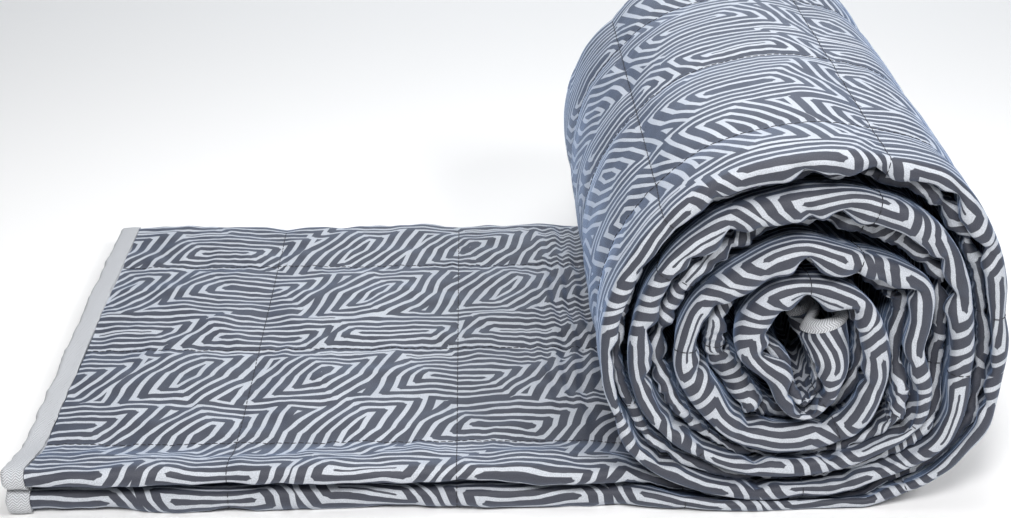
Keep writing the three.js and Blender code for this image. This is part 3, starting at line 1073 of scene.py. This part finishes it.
@dataclass
class Strip:
    """The folded strip as a surface: where each point of its outer side lies.

    Args:
        route: The strip's outer face.
        folds: Sizes of the folds.
        quilting: The seams.
        origin: Front corner of the strip at its loose end, in metres.
    """

    WAVY_END = (Unevenness(83, 1.5, 19.0, 12.0), Unevenness(89, 0.7, 7.0, 9.0))
    WAVY_REACH = (8.0, 60.0)

    route: Route
    folds: Folds
    quilting: Quilting
    origin: Vector

    def places(self, place: Stations, y: np.ndarray, n: np.ndarray) -> np.ndarray:
        """Turns section coordinates into places in the frame.

        Args:
            place: Stations along the strip.
            y: Distances behind the front plane.
            n: Distances inwards from the outer face.

        Returns:
            Stations by columns by 3, in metres.
        """
        wavy = sum(w.height * Noise(w.seed)(y / w.across, n / w.through) for w in self.WAVY_END)
        x = place.x - place.dz * n + wavy * (1 - smooth(*self.WAVY_REACH, place.s))
        z = place.z + place.dx * n
        return MM * np.stack(np.broadcast_arrays(x, y, z), axis=-1) + np.array(self.origin)

    @staticmethod
    def outward(places: np.ndarray) -> np.ndarray:
        """Directions out of a grid of places."""
        along = np.gradient(places, axis=0)
        across = np.gradient(places, axis=1)
        normal = np.cross(along, across)
        return normal / np.maximum(np.linalg.norm(normal, axis=2, keepdims=True), 1e-12)


@dataclass
class QuiltPart:
    """One stretch of the quilted cloth between two seams.

    Args:
        name: Name of the piece.
        start: Where it starts along the strip, in mm.
        end: Where it ends.
        step: Distance between its stations.
        columns: How finely its section is divided.
    """

    name: str
    start: float
    end: float
    step: float
    columns: Columns

    def stations(self, quilting: Quilting) -> np.ndarray:
        """Distances of its stations, one of them on each cross seam."""
        stops = [self.start, *quilting.cross_seams(self.start + 1, self.end - 1), self.end]
        parts = []
        for a, b in zip(stops, stops[1:]):
            count = max(2, round((b - a) / self.step))
            parts.append(np.linspace(a, b, count, endpoint=False))
        return np.concatenate([*parts, [self.end]])


class Surface(NamedTuple):
    """The built outer side of a stretch: its stations, section, places and directions out of it."""

    s: np.ndarray
    section: Section
    outer: np.ndarray
    out: np.ndarray


class Quilt:
    """The printed, quilted cloth, folded and rolled."""

    CLOTH_WIDTH = 1.52
    INNER_SHARE = 0.6
    INNER_STEP = 20.0
    INNER_FOLD_STEP = 4.2

    def __init__(self, strip: Strip) -> None:
        """Keeps the strip and the relief.

        Args:
            strip: The folded strip.
        """
        self.strip = strip
        self.relief = ClothRelief(strip.quilting)
        self.surfaces: dict[str, Surface] = {}

    def parts(self, binding_width: float) -> list[QuiltPart]:
        """The stretches that the cloth is built in, parted at cross seams."""
        length = self.strip.route.length
        seam = self.strip.quilting.cross_seams(0, length)
        flat = Columns(12, (2.6, 4.0), 12, (6.0, 24.0), 18)
        outer = Columns(11, (3.5, 24.0), 14, (3.0, 4.0), 20)
        inner = Columns(12, (3.0, 24.0), 14, (3.5, 24.0), 20)
        return [
            QuiltPart("quilt_flat_stretch", 0, seam[3], 2.2, flat),
            QuiltPart("quilt_outer_turn", seam[3], seam[8], 2.0, outer),
            QuiltPart("quilt_middle_turns", seam[8], seam[13], 1.8, inner),
            QuiltPart("quilt_inner_turns", seam[13], length - binding_width, 1.7, inner),
        ]

    def build(self, part: QuiltPart) -> bpy.types.Object:
        """Makes one stretch of the cloth.

        Args:
            part: The stretch.

        Returns:
            The new object.
        """
        s = part.stations(self.strip.quilting)
        place = self.strip.route.at(s)
        section = PlySection(self.strip.folds, self.strip.quilting, part.columns).outer_side(place)
        plain = self.strip.places(place, section.y, section.n)
        across = section.across_cloth()
        out = self.strip.outward(plain)
        height = self.relief.height(place.s, across, section)
        outer = Loft.above_floor(plain + MM * height[..., None] * out, CLEAR_OF_FLOOR)
        self.surfaces[part.name] = Surface(s, section, outer, out)
        keep = self._inner_columns(section, across)
        depth = MM * self.INNER_SHARE * section.ply[..., None]
        inner = Loft.above_floor(outer[:, keep] - depth * out[:, keep], INNER_CLEAR_OF_FLOOR)
        return Loft.cloth(part.name, (outer, inner), keep, (place.s, across), True)

    def _inner_columns(self, section: Section, across: np.ndarray) -> np.ndarray:
        """Columns of the outer side that the hidden inner side repeats.

        Args:
            section: The plain section.
            across: Distance across the cloth.

        Returns:
            Numbers of the columns, with one at each change from one face to the next.
        """
        face = section.face
        run = across[0]
        fold = np.isin(face, [Face.UPPER_FOLD.value, Face.LOWER_FOLD.value, Face.BACK_FOLD.value])
        chosen = [0]
        for i in range(1, len(face) - 1):
            step = self.INNER_FOLD_STEP if fold[i] else self.INNER_STEP
            if face[i] != face[i - 1] or run[i] - run[chosen[-1]] >= step:
                chosen.append(i)
        return np.array([*chosen, len(face) - 1])


class Grain(NamedTuple):
    """A noise in a finish: its scale for each mm, its detail, and how far it spreads what it moves."""

    scale: float
    detail: float
    spread: float


class NodeSheet:
    """Short calls for laying out the nodes of one finish."""

    def __init__(self, tree: bpy.types.NodeTree) -> None:
        """Keeps the tree.

        Args:
            tree: Where the nodes go.
        """
        self.tree = tree

    def add(self, kind: str, inputs: Optional[dict] = None, **settings: object) -> bpy.types.Node:
        """Adds a node.

        Args:
            kind: Blender's name of the node type.
            inputs: Values or sockets for its inputs, by name or number.
            **settings: Properties of the node.

        Returns:
            The node.
        """
        node = self.tree.nodes.new(kind)
        for key, value in settings.items():
            setattr(node, key, value)
        for key, value in (inputs or {}).items():
            self.feed(node.inputs[key], value)
        return node

    def feed(self, socket: bpy.types.NodeSocket, value: object) -> None:
        """Sets an input, or links it when the value is a socket."""
        if isinstance(value, bpy.types.NodeSocket):
            self.tree.links.new(value, socket)
        else:
            socket.default_value = value

    def math(self, operation: str, *values: object) -> bpy.types.NodeSocket:
        """The result of a Math node."""
        return self.add("ShaderNodeMath", dict(enumerate(values)), operation=operation).outputs[0]

    def mix(self, kind: str, share: object, first: object, second: object) -> bpy.types.NodeSocket:
        """A blend of two colours or numbers, as the kind RGBA or FLOAT says."""
        node = self.add("ShaderNodeMix", data_type=kind)
        for name, value in zip(("Factor", "A", "B"), (share, first, second)):
            self.feed(node.inputs[name], value)
        return node.outputs["Result"]

    def toned(self, colour: object, tone: bpy.types.NodeSocket) -> bpy.types.NodeSocket:
        """A colour made lighter or darker by a tone round 1."""
        shade = self.add("ShaderNodeCombineColor", {0: tone, 1: tone, 2: tone}).outputs[0]
        node = self.add("ShaderNodeMix", data_type="RGBA", blend_type="MULTIPLY")
        for name, value in zip(("Factor", "A", "B"), (1.0, colour, shade)):
            self.feed(node.inputs[name], value)
        return node.outputs["Result"]

    def step(self, value: object, low: float, high: float) -> bpy.types.NodeSocket:
        """A soft step from 0 at low to 1 at high."""
        node = self.add("ShaderNodeMapRange", {0: value, 1: low, 2: high}, interpolation_type="SMOOTHSTEP")
        return node.outputs[0]

    def noise(self, place: object, grain: Grain) -> bpy.types.NodeSocket:
        """Noise of 0 to 1 at a place."""
        inputs = {"Vector": place, "Scale": grain.scale, "Detail": grain.detail}
        return self.add("ShaderNodeTexNoise", inputs).outputs["Fac"]

    def shift(self, noise: bpy.types.NodeSocket, grain: Grain) -> bpy.types.NodeSocket:
        """Noise as a shift of up to half the grain's spread either way."""
        return self.math("MULTIPLY_ADD", noise, grain.spread, -grain.spread / 2)

    def cloth_place(self) -> bpy.types.NodeSocket:
        """Place on the cloth in mm: along the strip and across it."""
        cloth = self.add("ShaderNodeUVMap", uv_map=CLOTH_MAP).outputs[0]
        return self.add("ShaderNodeVectorMath", {0: cloth, 3: 1 / MM}, operation="SCALE").outputs[0]

    def bump(self, shader: bpy.types.Node, strength: float, distance: float, height: object) -> None:
        """Roughens a shader's surface; the distance is in mm."""
        inputs = {"Strength": strength, "Distance": distance * MM, "Height": height}
        self.feed(shader.inputs["Normal"], self.add("ShaderNodeBump", inputs).outputs[0])


def new_finish(name: str, **constants: object) -> tuple:
    """Starts a finish.

    Args:
        name: Name of the material.
        **constants: Values of its shader's inputs, with _ for each space in their names.

    Returns:
        The material, its shader and a sheet for its nodes.
    """
    material = bpy.data.materials.new(name)
    material.use_nodes = True
    shader = material.node_tree.nodes["Principled BSDF"]
    for key, value in constants.items():
        shader.inputs[key.replace("_", " ")].default_value = value
    return material, shader, NodeSheet(material.node_tree)


class Box(NamedTuple):
    """One nest of stripes in the print's repeat, in mm: its middle and half its core's length and width."""

    u: float
    v: float
    half_u: float
    half_v: float


@dataclass(frozen=True)
class PrintedSatin:
    """Cotton satin printed with a plain maze of nested boxes and zigzags.

    Args:
        repeat: Length and width of the repeat, in mm.
        pitch: From one dark stripe to the next, along the strip.
        finer: How many times finer the stripes that run along the strip are.
        dark_share: Share of the pitch that is dark.
        core_share: Share of the pitch by which a nest's core is ahead of its first dark stripe.
        slant: How far the boxes lean along the strip for each mm across it.
        point: How far a box's ends come to a point for each mm off its middle.
        corner: How near a box's corner the dark stripes are cut short.
        corner_cut: How much they are cut for each mm nearer.
        edge: Softness of a stripe's two edges.
        wander: Wobble of the lines along the strip, across it, and the small one across it.
        elsewhere: Where the wobble across is read, so that it differs from the one along.
        speckle: Unevenness of the yarns.
        cloudy: Unevenness of the dye.
        dark: Colour of the printed stripes.
        pale: Colour of the bare cloth.
        boxes: The nests of one repeat.
    """

    repeat: tuple[float, float] = (268.0, 191.5)
    pitch: float = 9.0
    finer: float = 1.34
    dark_share: float = 0.66
    core_share: float = 0.55
    slant: float = 0.50
    point: float = 0.22
    corner: float = 2.8
    corner_cut: float = 0.6
    edge: tuple[float, float] = (0.3, 0.4)
    wander: tuple[Grain, ...] = (Grain(0.022, 0.0, 9.0), Grain(0.030, 0.0, 7.0), Grain(0.16, 1.0, 0.9))
    elsewhere: tuple[float, float, float] = (91.0, 57.0, 0.0)
    speckle: Grain = Grain(1.5, 2.0, 0.95)
    cloudy: Grain = Grain(0.03, 3.0, 0.22)
    dark: tuple[float, float, float, float] = (0.049, 0.052, 0.067, 1)
    pale: tuple[float, float, float, float] = (0.500, 0.525, 0.560, 1)
    boxes: tuple[Box, ...] = (
        Box(28, 0, 24, 1),
        Box(116, 3, 19, 0),
        Box(208, -3, 27, 2),
        Box(72, 66, 2, 15),
        Box(160, 70, 20, 3),
        Box(252, 60, 3, 13),
        Box(14, 134, 5, 9),
        Box(104, 128, 18, 1),
        Box(198, 134, 3, 17),
    )

    def material(self) -> bpy.types.Material:
        """Builds the finish: colours, weave and sheen."""
        material, shader, sheet = new_finish(
            "printed_satin",
            Sheen_Weight=0.32,
            Sheen_Roughness=0.45,
            Sheen_Tint=(0.42, 0.62, 1.0, 1),
            Specular_IOR_Level=0.4,
        )
        place = sheet.cloth_place()
        stripe = self._stripes(sheet, *self._wobbled(sheet, place))
        speckle = sheet.noise(place, self.speckle)
        cloudy = sheet.noise(place, self.cloudy)
        tone = sheet.math("ADD", sheet.shift(speckle, self.speckle), sheet.shift(cloudy, self.cloudy))
        colour = sheet.toned(sheet.mix("RGBA", stripe, self.pale, self.dark), sheet.math("ADD", tone, 1.0))
        sheet.feed(shader.inputs["Base Color"], colour)
        sheet.feed(shader.inputs["Roughness"], sheet.math("MULTIPLY_ADD", stripe, -0.06, 0.62))
        warp = {"Vector": place, "Scale": 0.62, "Distortion": 0.6}
        weft = {"Vector": place, "Scale": 0.5, "Distortion": 0.6}
        warp = sheet.add("ShaderNodeTexWave", warp).outputs["Fac"]
        weft = sheet.add("ShaderNodeTexWave", weft, bands_direction="Y").outputs["Fac"]
        weave = sheet.math("ADD", sheet.math("MAXIMUM", warp, weft), speckle)
        sheet.bump(shader, 0.28, 0.2, weave)
        return material

    def _wobbled(self, sheet: NodeSheet, place: bpy.types.NodeSocket) -> tuple:
        """Cloth coordinates in mm with a hand-drawn wobble, sheared along the slant."""
        split = sheet.add("ShaderNodeSeparateXYZ", {0: place})
        beside = sheet.add("ShaderNodeVectorMath", {0: place, 1: self.elsewhere}).outputs[0]
        along, across, small = self.wander
        u = sheet.math("ADD", split.outputs[0], sheet.shift(sheet.noise(place, along), along))
        v = sheet.math("ADD", split.outputs[1], sheet.shift(sheet.noise(beside, across), across))
        v = sheet.math("ADD", v, sheet.shift(sheet.noise(place, small), small))
        leaning = sheet.math("MULTIPLY_ADD", sheet.math("ABSOLUTE", v), self.slant, u)
        return leaning, v

    def _nest_group(self) -> bpy.types.NodeTree:
        """A group that keeps the nearer of the boxes so far and one more."""
        group = bpy.data.node_groups.new("nested_box", "ShaderNodeTree")
        names = ("u", "v", "box_u", "box_v", "half_u", "half_v", "nearest", "off_corner")
        for name in names:
            group.interface.new_socket(name, in_out="INPUT", socket_type="NodeSocketFloat")
        for name in names[-2:]:
            group.interface.new_socket(name, in_out="OUTPUT", socket_type="NodeSocketFloat")
        sheet = NodeSheet(group)
        given = sheet.add("NodeGroupInput").outputs
        beyond = []
        sizes = []
        for axis, period in zip(("u", "v"), self.repeat):
            offset = sheet.math("SUBTRACT", given[axis], given["box_" + axis])
            wrapped = sheet.math("WRAP", offset, period / 2, -period / 2)
            sizes.append(sheet.math("ABSOLUTE", wrapped))
            beyond.append(sheet.math("SUBTRACT", sizes[-1], given["half_" + axis]))
        beyond[0] = sheet.math("MULTIPLY_ADD", sizes[1], self.point, beyond[0])
        beyond[1] = sheet.math("MULTIPLY", beyond[1], self.finer)
        distance = sheet.math("MAXIMUM", *beyond)
        off_corner = sheet.math("ABSOLUTE", sheet.math("SUBTRACT", *beyond))
        closer = sheet.math("LESS_THAN", distance, given["nearest"])
        result = sheet.add("NodeGroupOutput")
        sheet.feed(result.inputs["nearest"], sheet.math("MINIMUM", distance, given["nearest"]))
        kept = sheet.mix("FLOAT", closer, given["off_corner"], off_corner)
        sheet.feed(result.inputs["off_corner"], kept)
        return group

    def _stripes(
        self, sheet: NodeSheet, u: bpy.types.NodeSocket, v: bpy.types.NodeSocket
    ) -> bpy.types.NodeSocket:
        """1 on dark stripes and 0 on pale ones."""
        group = self._nest_group()
        nearest = 1000.0
        off_corner = 100.0
        for box in self.boxes:
            node = sheet.add("ShaderNodeGroup", node_tree=group)
            values = {"box_" + key if len(key) == 1 else key: size for key, size in box._asdict().items()}
            values.update(u=u, v=v, nearest=nearest, off_corner=off_corner)
            for name, value in values.items():
                sheet.feed(node.inputs[name], value)
            nearest = node.outputs["nearest"]
            off_corner = node.outputs["off_corner"]
        ahead = sheet.math("ADD", nearest, self.core_share * self.pitch)
        within = sheet.math("WRAP", ahead, self.pitch, 0.0)
        nearer = sheet.math("MAXIMUM", sheet.math("SUBTRACT", self.corner, off_corner), 0.0)
        reach = sheet.math("ADD", within, sheet.math("MULTIPLY", nearer, self.corner_cut))
        dark_width = self.dark_share * self.pitch
        inner_edge = sheet.step(within, 0.0, self.edge[0])
        beyond = sheet.step(reach, dark_width - self.edge[1] / 2, dark_width + self.edge[1] / 2)
        return sheet.math("MULTIPLY", sheet.math("SUBTRACT", 1.0, beyond), inner_edge)


@dataclass(frozen=True)
class Herringbone:
    """Pale grey herringbone tape.

    Args:
        colour: Colour of its yarn.
        rib: Width of one row of the herringbone, in mm.
        lean: How far the wales lean along the tape for each mm across it.
        wale: From one wale to the next.
        wale_tone: How much lighter and darker the wales make it.
        speckle: Unevenness of the yarn.
    """

    colour: tuple[float, float, float, float] = (0.52, 0.53, 0.545, 1)
    rib: float = 2.4
    lean: float = 0.9
    wale: float = 1.6
    wale_tone: float = 0.32
    speckle: Grain = Grain(1.6, 2.0, 0.5)

    def material(self) -> bpy.types.Material:
        """Builds the finish."""
        material, shader, sheet = new_finish("herringbone_tape", Roughness=0.9, Specular_IOR_Level=0.25)
        place = sheet.cloth_place()
        split = sheet.add("ShaderNodeSeparateXYZ", {0: place})
        rib = sheet.math("PINGPONG", split.outputs[0], self.rib)
        along = sheet.math("ADD", split.outputs[1], sheet.math("MULTIPLY", rib, self.lean))
        wale = sheet.math("SINE", sheet.math("MULTIPLY", along, 2 * math.pi / self.wale))
        speckle = sheet.noise(place, self.speckle)
        tone = sheet.math("MULTIPLY_ADD", wale, self.wale_tone, 1.0)
        tone = sheet.math("ADD", tone, sheet.shift(speckle, self.speckle))
        sheet.feed(shader.inputs["Base Color"], sheet.toned(self.colour, tone))
        sheet.bump(shader, 0.5, 0.3, sheet.math("ADD", wale, speckle))
        return material


class End(Enum):
    """The two short ends of the cloth."""

    OUTER = "binding_outer_end"
    INNER = "binding_inner_end"


@dataclass
class Binding:
    """The tape folded over a short end.

    Args:
        strip: The folded strip that it closes.
        end: Which end.
        width: How far it reaches onto the cloth, in mm.
        cut_width: Width of the flat tape that shows in it.
        piece_gap: Space kept to the quilted cloth.
        proud: How far the tape stands above the cloth.
        edge_share: Share of its width in which its edge is rounded.
        round_share: Share of half a ply that the round of its edge falls.
        back_share: Share of a ply that lies between its two faces.
        billow: Height of its unevenness.
        billow_cell: Size of that unevenness along the strip and across it.
    """

    EDGE_ROWS = 8
    FACE_ROWS = 9

    strip: Strip
    end: End
    width: float = 14.0
    cut_width: float = 14.0
    piece_gap: float = 0.3
    proud: float = 0.5
    edge_share: float = 0.2
    round_share: float = 0.92
    back_share: float = 0.95
    billow: float = 0.5
    billow_cell: tuple[float, float] = (9.0, 14.0)

    def build(self) -> bpy.types.Object:
        """Makes the tape."""
        edge = (1 - np.cos(np.linspace(0, np.pi / 2, self.EDGE_ROWS))) * self.edge_share
        shares = np.concatenate([edge, np.linspace(1.4 * self.edge_share, 1, self.FACE_ROWS)])
        distance = self.width - self.piece_gap
        if self.end is End.OUTER:
            s = -self.width + shares * distance
            seed = 71
        else:
            shares = shares[::-1]
            s = self.strip.route.length - shares * distance
            seed = 73
        from_edge = (shares * self.width)[:, None]
        place = self.strip.route.at(s)
        columns = Columns(12, (3.0, 5.0), 12, (3.0, 5.0), 16)
        section = PlySection(self.strip.folds, self.strip.quilting, columns).outer_side(place)
        across = section.across_cloth()
        plain = self.strip.places(place, section.y, section.n)
        out = self._across_only(plain, place)
        half = section.ply / 2
        rounding = 1 - np.sqrt(np.clip(1 - (1 - np.minimum(from_edge / half, 1)) ** 2, 0, 1))
        fall = self.round_share * half * rounding
        cell_s, cell_v = self.billow_cell
        billow = self.billow * Noise(seed)(place.s / cell_s, across / cell_v)
        rise = self.proud * smooth(0, 3, from_edge) - fall + billow * smooth(0, 5, from_edge)
        face = Loft.above_floor(plain + MM * rise[..., None] * out, CLEAR_OF_FLOOR)
        depth = MM * (self.back_share * section.ply - fall)[..., None]
        back = Loft.above_floor(plain - depth * out, INNER_CLEAR_OF_FLOOR)
        keep = np.unique(np.append(np.arange(0, len(section.face), 2), len(section.face) - 1))
        return Loft.cloth(self.end.value + "_tape", (face, back[:, keep]), keep, (place.s, across), False)

    @staticmethod
    def _across_only(plain: np.ndarray, place: Stations) -> np.ndarray:
        """Directions out of the section, square to the strip's length."""
        along = np.stack(np.broadcast_arrays(place.dx, 0 * place.dx, place.dz), axis=-1)
        across = np.gradient(plain, axis=1)
        normal = np.cross(np.broadcast_to(along, across.shape), across)
        return normal / np.maximum(np.linalg.norm(normal, axis=2, keepdims=True), 1e-12)


@dataclass(frozen=True)
class Thread:
    """Dark sewing thread laid in short stitches.

    Args:
        stitch: Length of a stitch, in mm.
        gap: From one stitch to the next.
        width: Width of the thread.
        raised: Share of that width by which a stitch's middle lies above the cloth.
        bluntness: Power that rounds a stitch's ends off; 1 leaves them pointed.
        colour: Colour of the thread.
        lighter: How many times lighter its raised fibres are.
        twist: Unevenness of its fibres.
    """

    stitch: float = 3.6
    gap: float = 0.7
    width: float = 0.62
    raised: float = 0.25
    bluntness: float = 0.7
    colour: tuple[float, float, float, float] = (0.016, 0.016, 0.020, 1)
    lighter: float = 1.9
    twist: Grain = Grain(3000.0, 2.0, 1.0)

    def material(self) -> bpy.types.Material:
        """Builds the finish."""
        material, shader, sheet = new_finish("sewing_thread", Roughness=0.7)
        place = sheet.add("ShaderNodeTexCoord").outputs["Object"]
        twist = sheet.noise(place, self.twist)
        lighter = (*(self.lighter * c for c in self.colour[:3]), 1.0)
        sheet.feed(shader.inputs["Base Color"], sheet.mix("RGBA", twist, self.colour, lighter))
        sheet.bump(shader, 0.4, 0.1, twist)
        return material

    def sew(self, name: str, seams: Sequence[tuple[np.ndarray, np.ndarray]]) -> bpy.types.Object:
        """Joins all the stitches of some seams into one piece.

        Args:
            name: Name of the piece.
            seams: For each seam its places and the directions out of the cloth there.

        Returns:
            The new object.
        """
        template = bmesh.new()
        bmesh.ops.create_uvsphere(template, u_segments=6, v_segments=5, radius=1)
        bmesh.ops.rotate(template, verts=template.verts, matrix=Matrix.Rotation(math.pi / 2, 3, "Y"))
        template.verts.ensure_lookup_table()
        shape = np.array([v.co for v in template.verts])
        faces = [[v.index for v in face.verts] for face in template.faces]
        template.free()
        shape[:, 0] = np.sign(shape[:, 0]) * np.abs(shape[:, 0]) ** self.bluntness
        placed = [p for run, out in seams for p in self._stitches(run, out, shape)]
        verts = np.concatenate(placed)
        indices = [[i + k * len(shape) for i in face] for k in range(len(placed)) for face in faces]
        mesh = bpy.data.meshes.new(name)
        mesh.from_pydata(verts.tolist(), [], indices)
        mesh.shade_smooth()
        piece = bpy.data.objects.new(name, mesh)
        bpy.context.scene.collection.objects.link(piece)
        return piece

    def _stitches(self, run: np.ndarray, out: np.ndarray, shape: np.ndarray) -> list[np.ndarray]:
        """Places the stitches of one seam."""
        steps = np.linalg.norm(np.diff(run, axis=0), axis=1)
        distance = np.concatenate([[0.0], np.cumsum(steps)]) / MM
        starts = np.arange(self.gap, distance[-1] - self.stitch, self.stitch + self.gap)

        def on_run(values: np.ndarray, where: float) -> np.ndarray:
            """A column-wise reading of the seam at a distance along it."""
            return np.array([np.interp(where, distance, values[:, k]) for k in range(3)])

        placed = []
        for start in starts:
            middle = start + self.stitch / 2
            along = on_run(run, start + self.stitch) - on_run(run, start)
            length = np.linalg.norm(along)
            along = along / length
            up = on_run(out, middle)
            up = up - along * (up @ along)
            up = up / np.linalg.norm(up)
            side = np.cross(up, along)
            size = (length / 2, self.width * MM / 2, self.width * MM / 2)
            turned = (shape * size) @ np.stack([along, side, up])
            laid = turned + on_run(run, middle) + up * self.width * MM * self.raised
            placed.append(Loft.above_floor(laid, CLEAR_OF_FLOOR))
        return placed


class Stitching:
    """Quilting seams that show on the cloth."""

    FRONT_REACH = 45.0
    SHOWN = {"quilt_flat_stretch": Face.TOP, "quilt_outer_turn": Face.UNDER}

    def __init__(self, quilt: Quilt) -> None:
        """Keeps the cloth that is sewn.

        Args:
            quilt: The built cloth.
        """
        self.quilt = quilt
        self.quilting = quilt.strip.quilting

    def seams(self) -> list[tuple[np.ndarray, np.ndarray]]:
        """The runs of thread: lengthwise and cross seams of the faces that show."""
        runs = []
        for name, surface in self.quilt.surfaces.items():
            face = self.SHOWN.get(name)
            if face is not None:
                shown = np.flatnonzero(surface.section.face == face.value)
                for line in self.quilting.length_lines:
                    column = shown[np.abs(surface.section.y[0, shown] - line).argmin()]
                    runs.append((surface.outer[:, column], surface.out[:, column]))
            for seam in self.quilting.cross_seams(surface.s[0] + 1, surface.s[-1] + 1):
                row = int(np.abs(surface.s - seam).argmin())
                runs += self._cross(surface, row, face)
        return runs

    def _cross(
        self, surface: Surface, row: int, shown: Optional[Face]
    ) -> list[tuple[np.ndarray, np.ndarray]]:
        """One cross seam: over the whole shown face, and over the front folds."""
        face = surface.section.face
        near = surface.section.y[row] < self.FRONT_REACH
        runs = []
        for fold, behind in ((Face.LOWER_FOLD, Face.UNDER), (Face.UPPER_FOLD, Face.TOP)):
            mask = (face == fold.value) | ((face == behind.value) & (near | (shown is behind)))
            runs.append((surface.outer[row, mask], surface.out[row, mask]))
        return runs


class Lamp(NamedTuple):
    """A soft square lamp: where it hangs, what it points at, its width in metres, power and colour."""

    name: str
    place: tuple[float, float, float]
    aim: tuple[float, float, float]
    size: float
    power: float
    colour: tuple[float, float, float]


LAMPS = [
    Lamp("behind", (0.25, 1.7, 0.95), (0.05, 0.0, 0.08), 1.8, 19.0, (0.86, 0.92, 1.0)),
    Lamp("overhead", (0.08, -0.05, 0.85), (0.12, 0.0, 0.2), 0.5, 4.2, (0.97, 0.98, 1.0)),
    Lamp("front_left", (-0.3, -1.45, 1.55), (0.1, 0.0, 0.08), 0.5, 26.0, (0.98, 0.98, 1.0)),
    Lamp("front_right", (1.15, -1.15, 1.5), (0.1, 0.0, 0.08), 0.5, 19.0, (0.98, 0.98, 1.0)),
]


@dataclass(frozen=True)
class Studio:
    """Camera at the photo's angle, soft lights and a pale floor.

    Args:
        eye: Place of the camera, in metres.
        pitch: Degrees that it looks down.
        yaw: Degrees that it looks to the side.
        focal: Focal length in pixels of the photo.
        sensor: Width of the camera's sensor, in mm.
        floor_size: Width of the floor, in metres.
        floor_colour: Its colour.
        room_light: Strength of the even light of the room.
    """

    eye: tuple[float, float, float] = (-0.01404, -1.0104, 0.54578)
    pitch: float = 24.977
    yaw: float = 1.212
    focal: float = 1700.0
    sensor: float = 36.0
    floor_size: float = 6.0
    floor_colour: tuple[float, float, float, float] = (0.97, 0.96, 0.94, 1)
    room_light: float = 0.06

    def camera(self) -> None:
        """Sets up the camera."""
        data = bpy.data.cameras.new("camera")
        data.sensor_fit = "HORIZONTAL"
        data.sensor_width = self.sensor
        data.lens = self.focal * self.sensor / PHOTO_WIDTH
        data.clip_start = 0.01
        camera = bpy.data.objects.new("camera", data)
        bpy.context.scene.collection.objects.link(camera)
        camera.location = self.eye
        camera.rotation_euler = (math.radians(90 - self.pitch), 0, math.radians(-self.yaw))
        bpy.context.scene.camera = camera

    def floor(self) -> None:
        """Lays a plain pale floor."""
        bm = bmesh.new()
        bmesh.ops.create_grid(bm, x_segments=1, y_segments=1, size=self.floor_size / 2)
        floor = Loft.finish(bm, "floor")
        finish = new_finish("pale_floor", Base_Color=self.floor_colour, Roughness=1.0, Specular_IOR_Level=0.0)
        floor.data.materials.append(finish[0])

    def lights(self) -> None:
        """Hangs the lamps and lights the room evenly."""
        for lamp in LAMPS:
            data = bpy.data.lights.new(lamp.name, "AREA")
            data.size = lamp.size
            data.energy = lamp.power
            data.color = lamp.colour
            hung = bpy.data.objects.new(lamp.name, data)
            bpy.context.scene.collection.objects.link(hung)
            hung.location = lamp.place
            towards = Vector(lamp.aim) - Vector(lamp.place)
            hung.rotation_euler = towards.to_track_quat("-Z", "Y").to_euler()
        world = bpy.data.worlds.new("studio")
        world.use_nodes = True
        background = world.node_tree.nodes["Background"]
        background.inputs["Color"].default_value = (1.0, 1.0, 1.0, 1)
        background.inputs["Strength"].default_value = self.room_light
        bpy.context.scene.world = world
        bpy.context.scene.view_settings.view_transform = "Standard"


class Dohar:
    """The whole blanket."""

    INNER_BINDING = 6.0

    def __init__(self) -> None:
        """Finds the strip's place in the frame."""
        folds = Folds()
        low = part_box("quilt")[0]
        origin = Vector((low.x, low.y + MM * (folds.front_wave[0] - folds.lower_front[1]), 0.0))
        self.strip = Strip(Route(), folds, Quilting(), origin)
        self.quilt = Quilt(self.strip)
        self.satin = PrintedSatin().material()
        self.tape = Herringbone().material()

    def build(self) -> None:
        """Makes and dresses every piece."""
        inner = Binding(self.strip, End.INNER, width=self.INNER_BINDING, cut_width=2 * self.INNER_BINDING)
        for part in self.quilt.parts(inner.width):
            length = self.strip.route.middle_length(part.start, part.end)
            self._dress(self.quilt.build(part), self.satin, "quilt_cloth", "quilt", length)
        for binding in (Binding(self.strip, End.OUTER), inner):
            width = MM * binding.cut_width
            self._dress(binding.build(), self.tape, "binding_cloth", binding.end.value, width)
        thread = Thread()
        stitches = thread.sew("quilting_thread", Stitching(self.quilt).seams())
        stitches.data.materials.append(thread.material())
        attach(stitches, "root")
        log.info("quilting_thread: %d faces", len(stitches.data.polygons))

    @staticmethod
    def _dress(
        piece: bpy.types.Object, material: bpy.types.Material, slot: str, node: str, length: float
    ) -> None:
        """Gives a sheet of cloth its finish, hangs it from the root body and hides the solid that it stands
        for.

        Args:
            piece: The piece.
            material: Its finish.
            slot: The record's material slot. Not used.
            node: The solid that it stands for.
            length: Its flat size along the strip, in metres. Not used.
        """
        piece.data.materials.append(material)
        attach(piece, "root")
        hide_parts(node)
        log.info("%s: %d faces", piece.name, len(piece.data.polygons))


def main() -> None:
    """Builds the studio and the blanket."""
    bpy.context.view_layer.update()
    studio = Studio()
    studio.camera()
    studio.floor()
    studio.lights()
    Dohar().build()


if __name__ == "__main__":
    main()
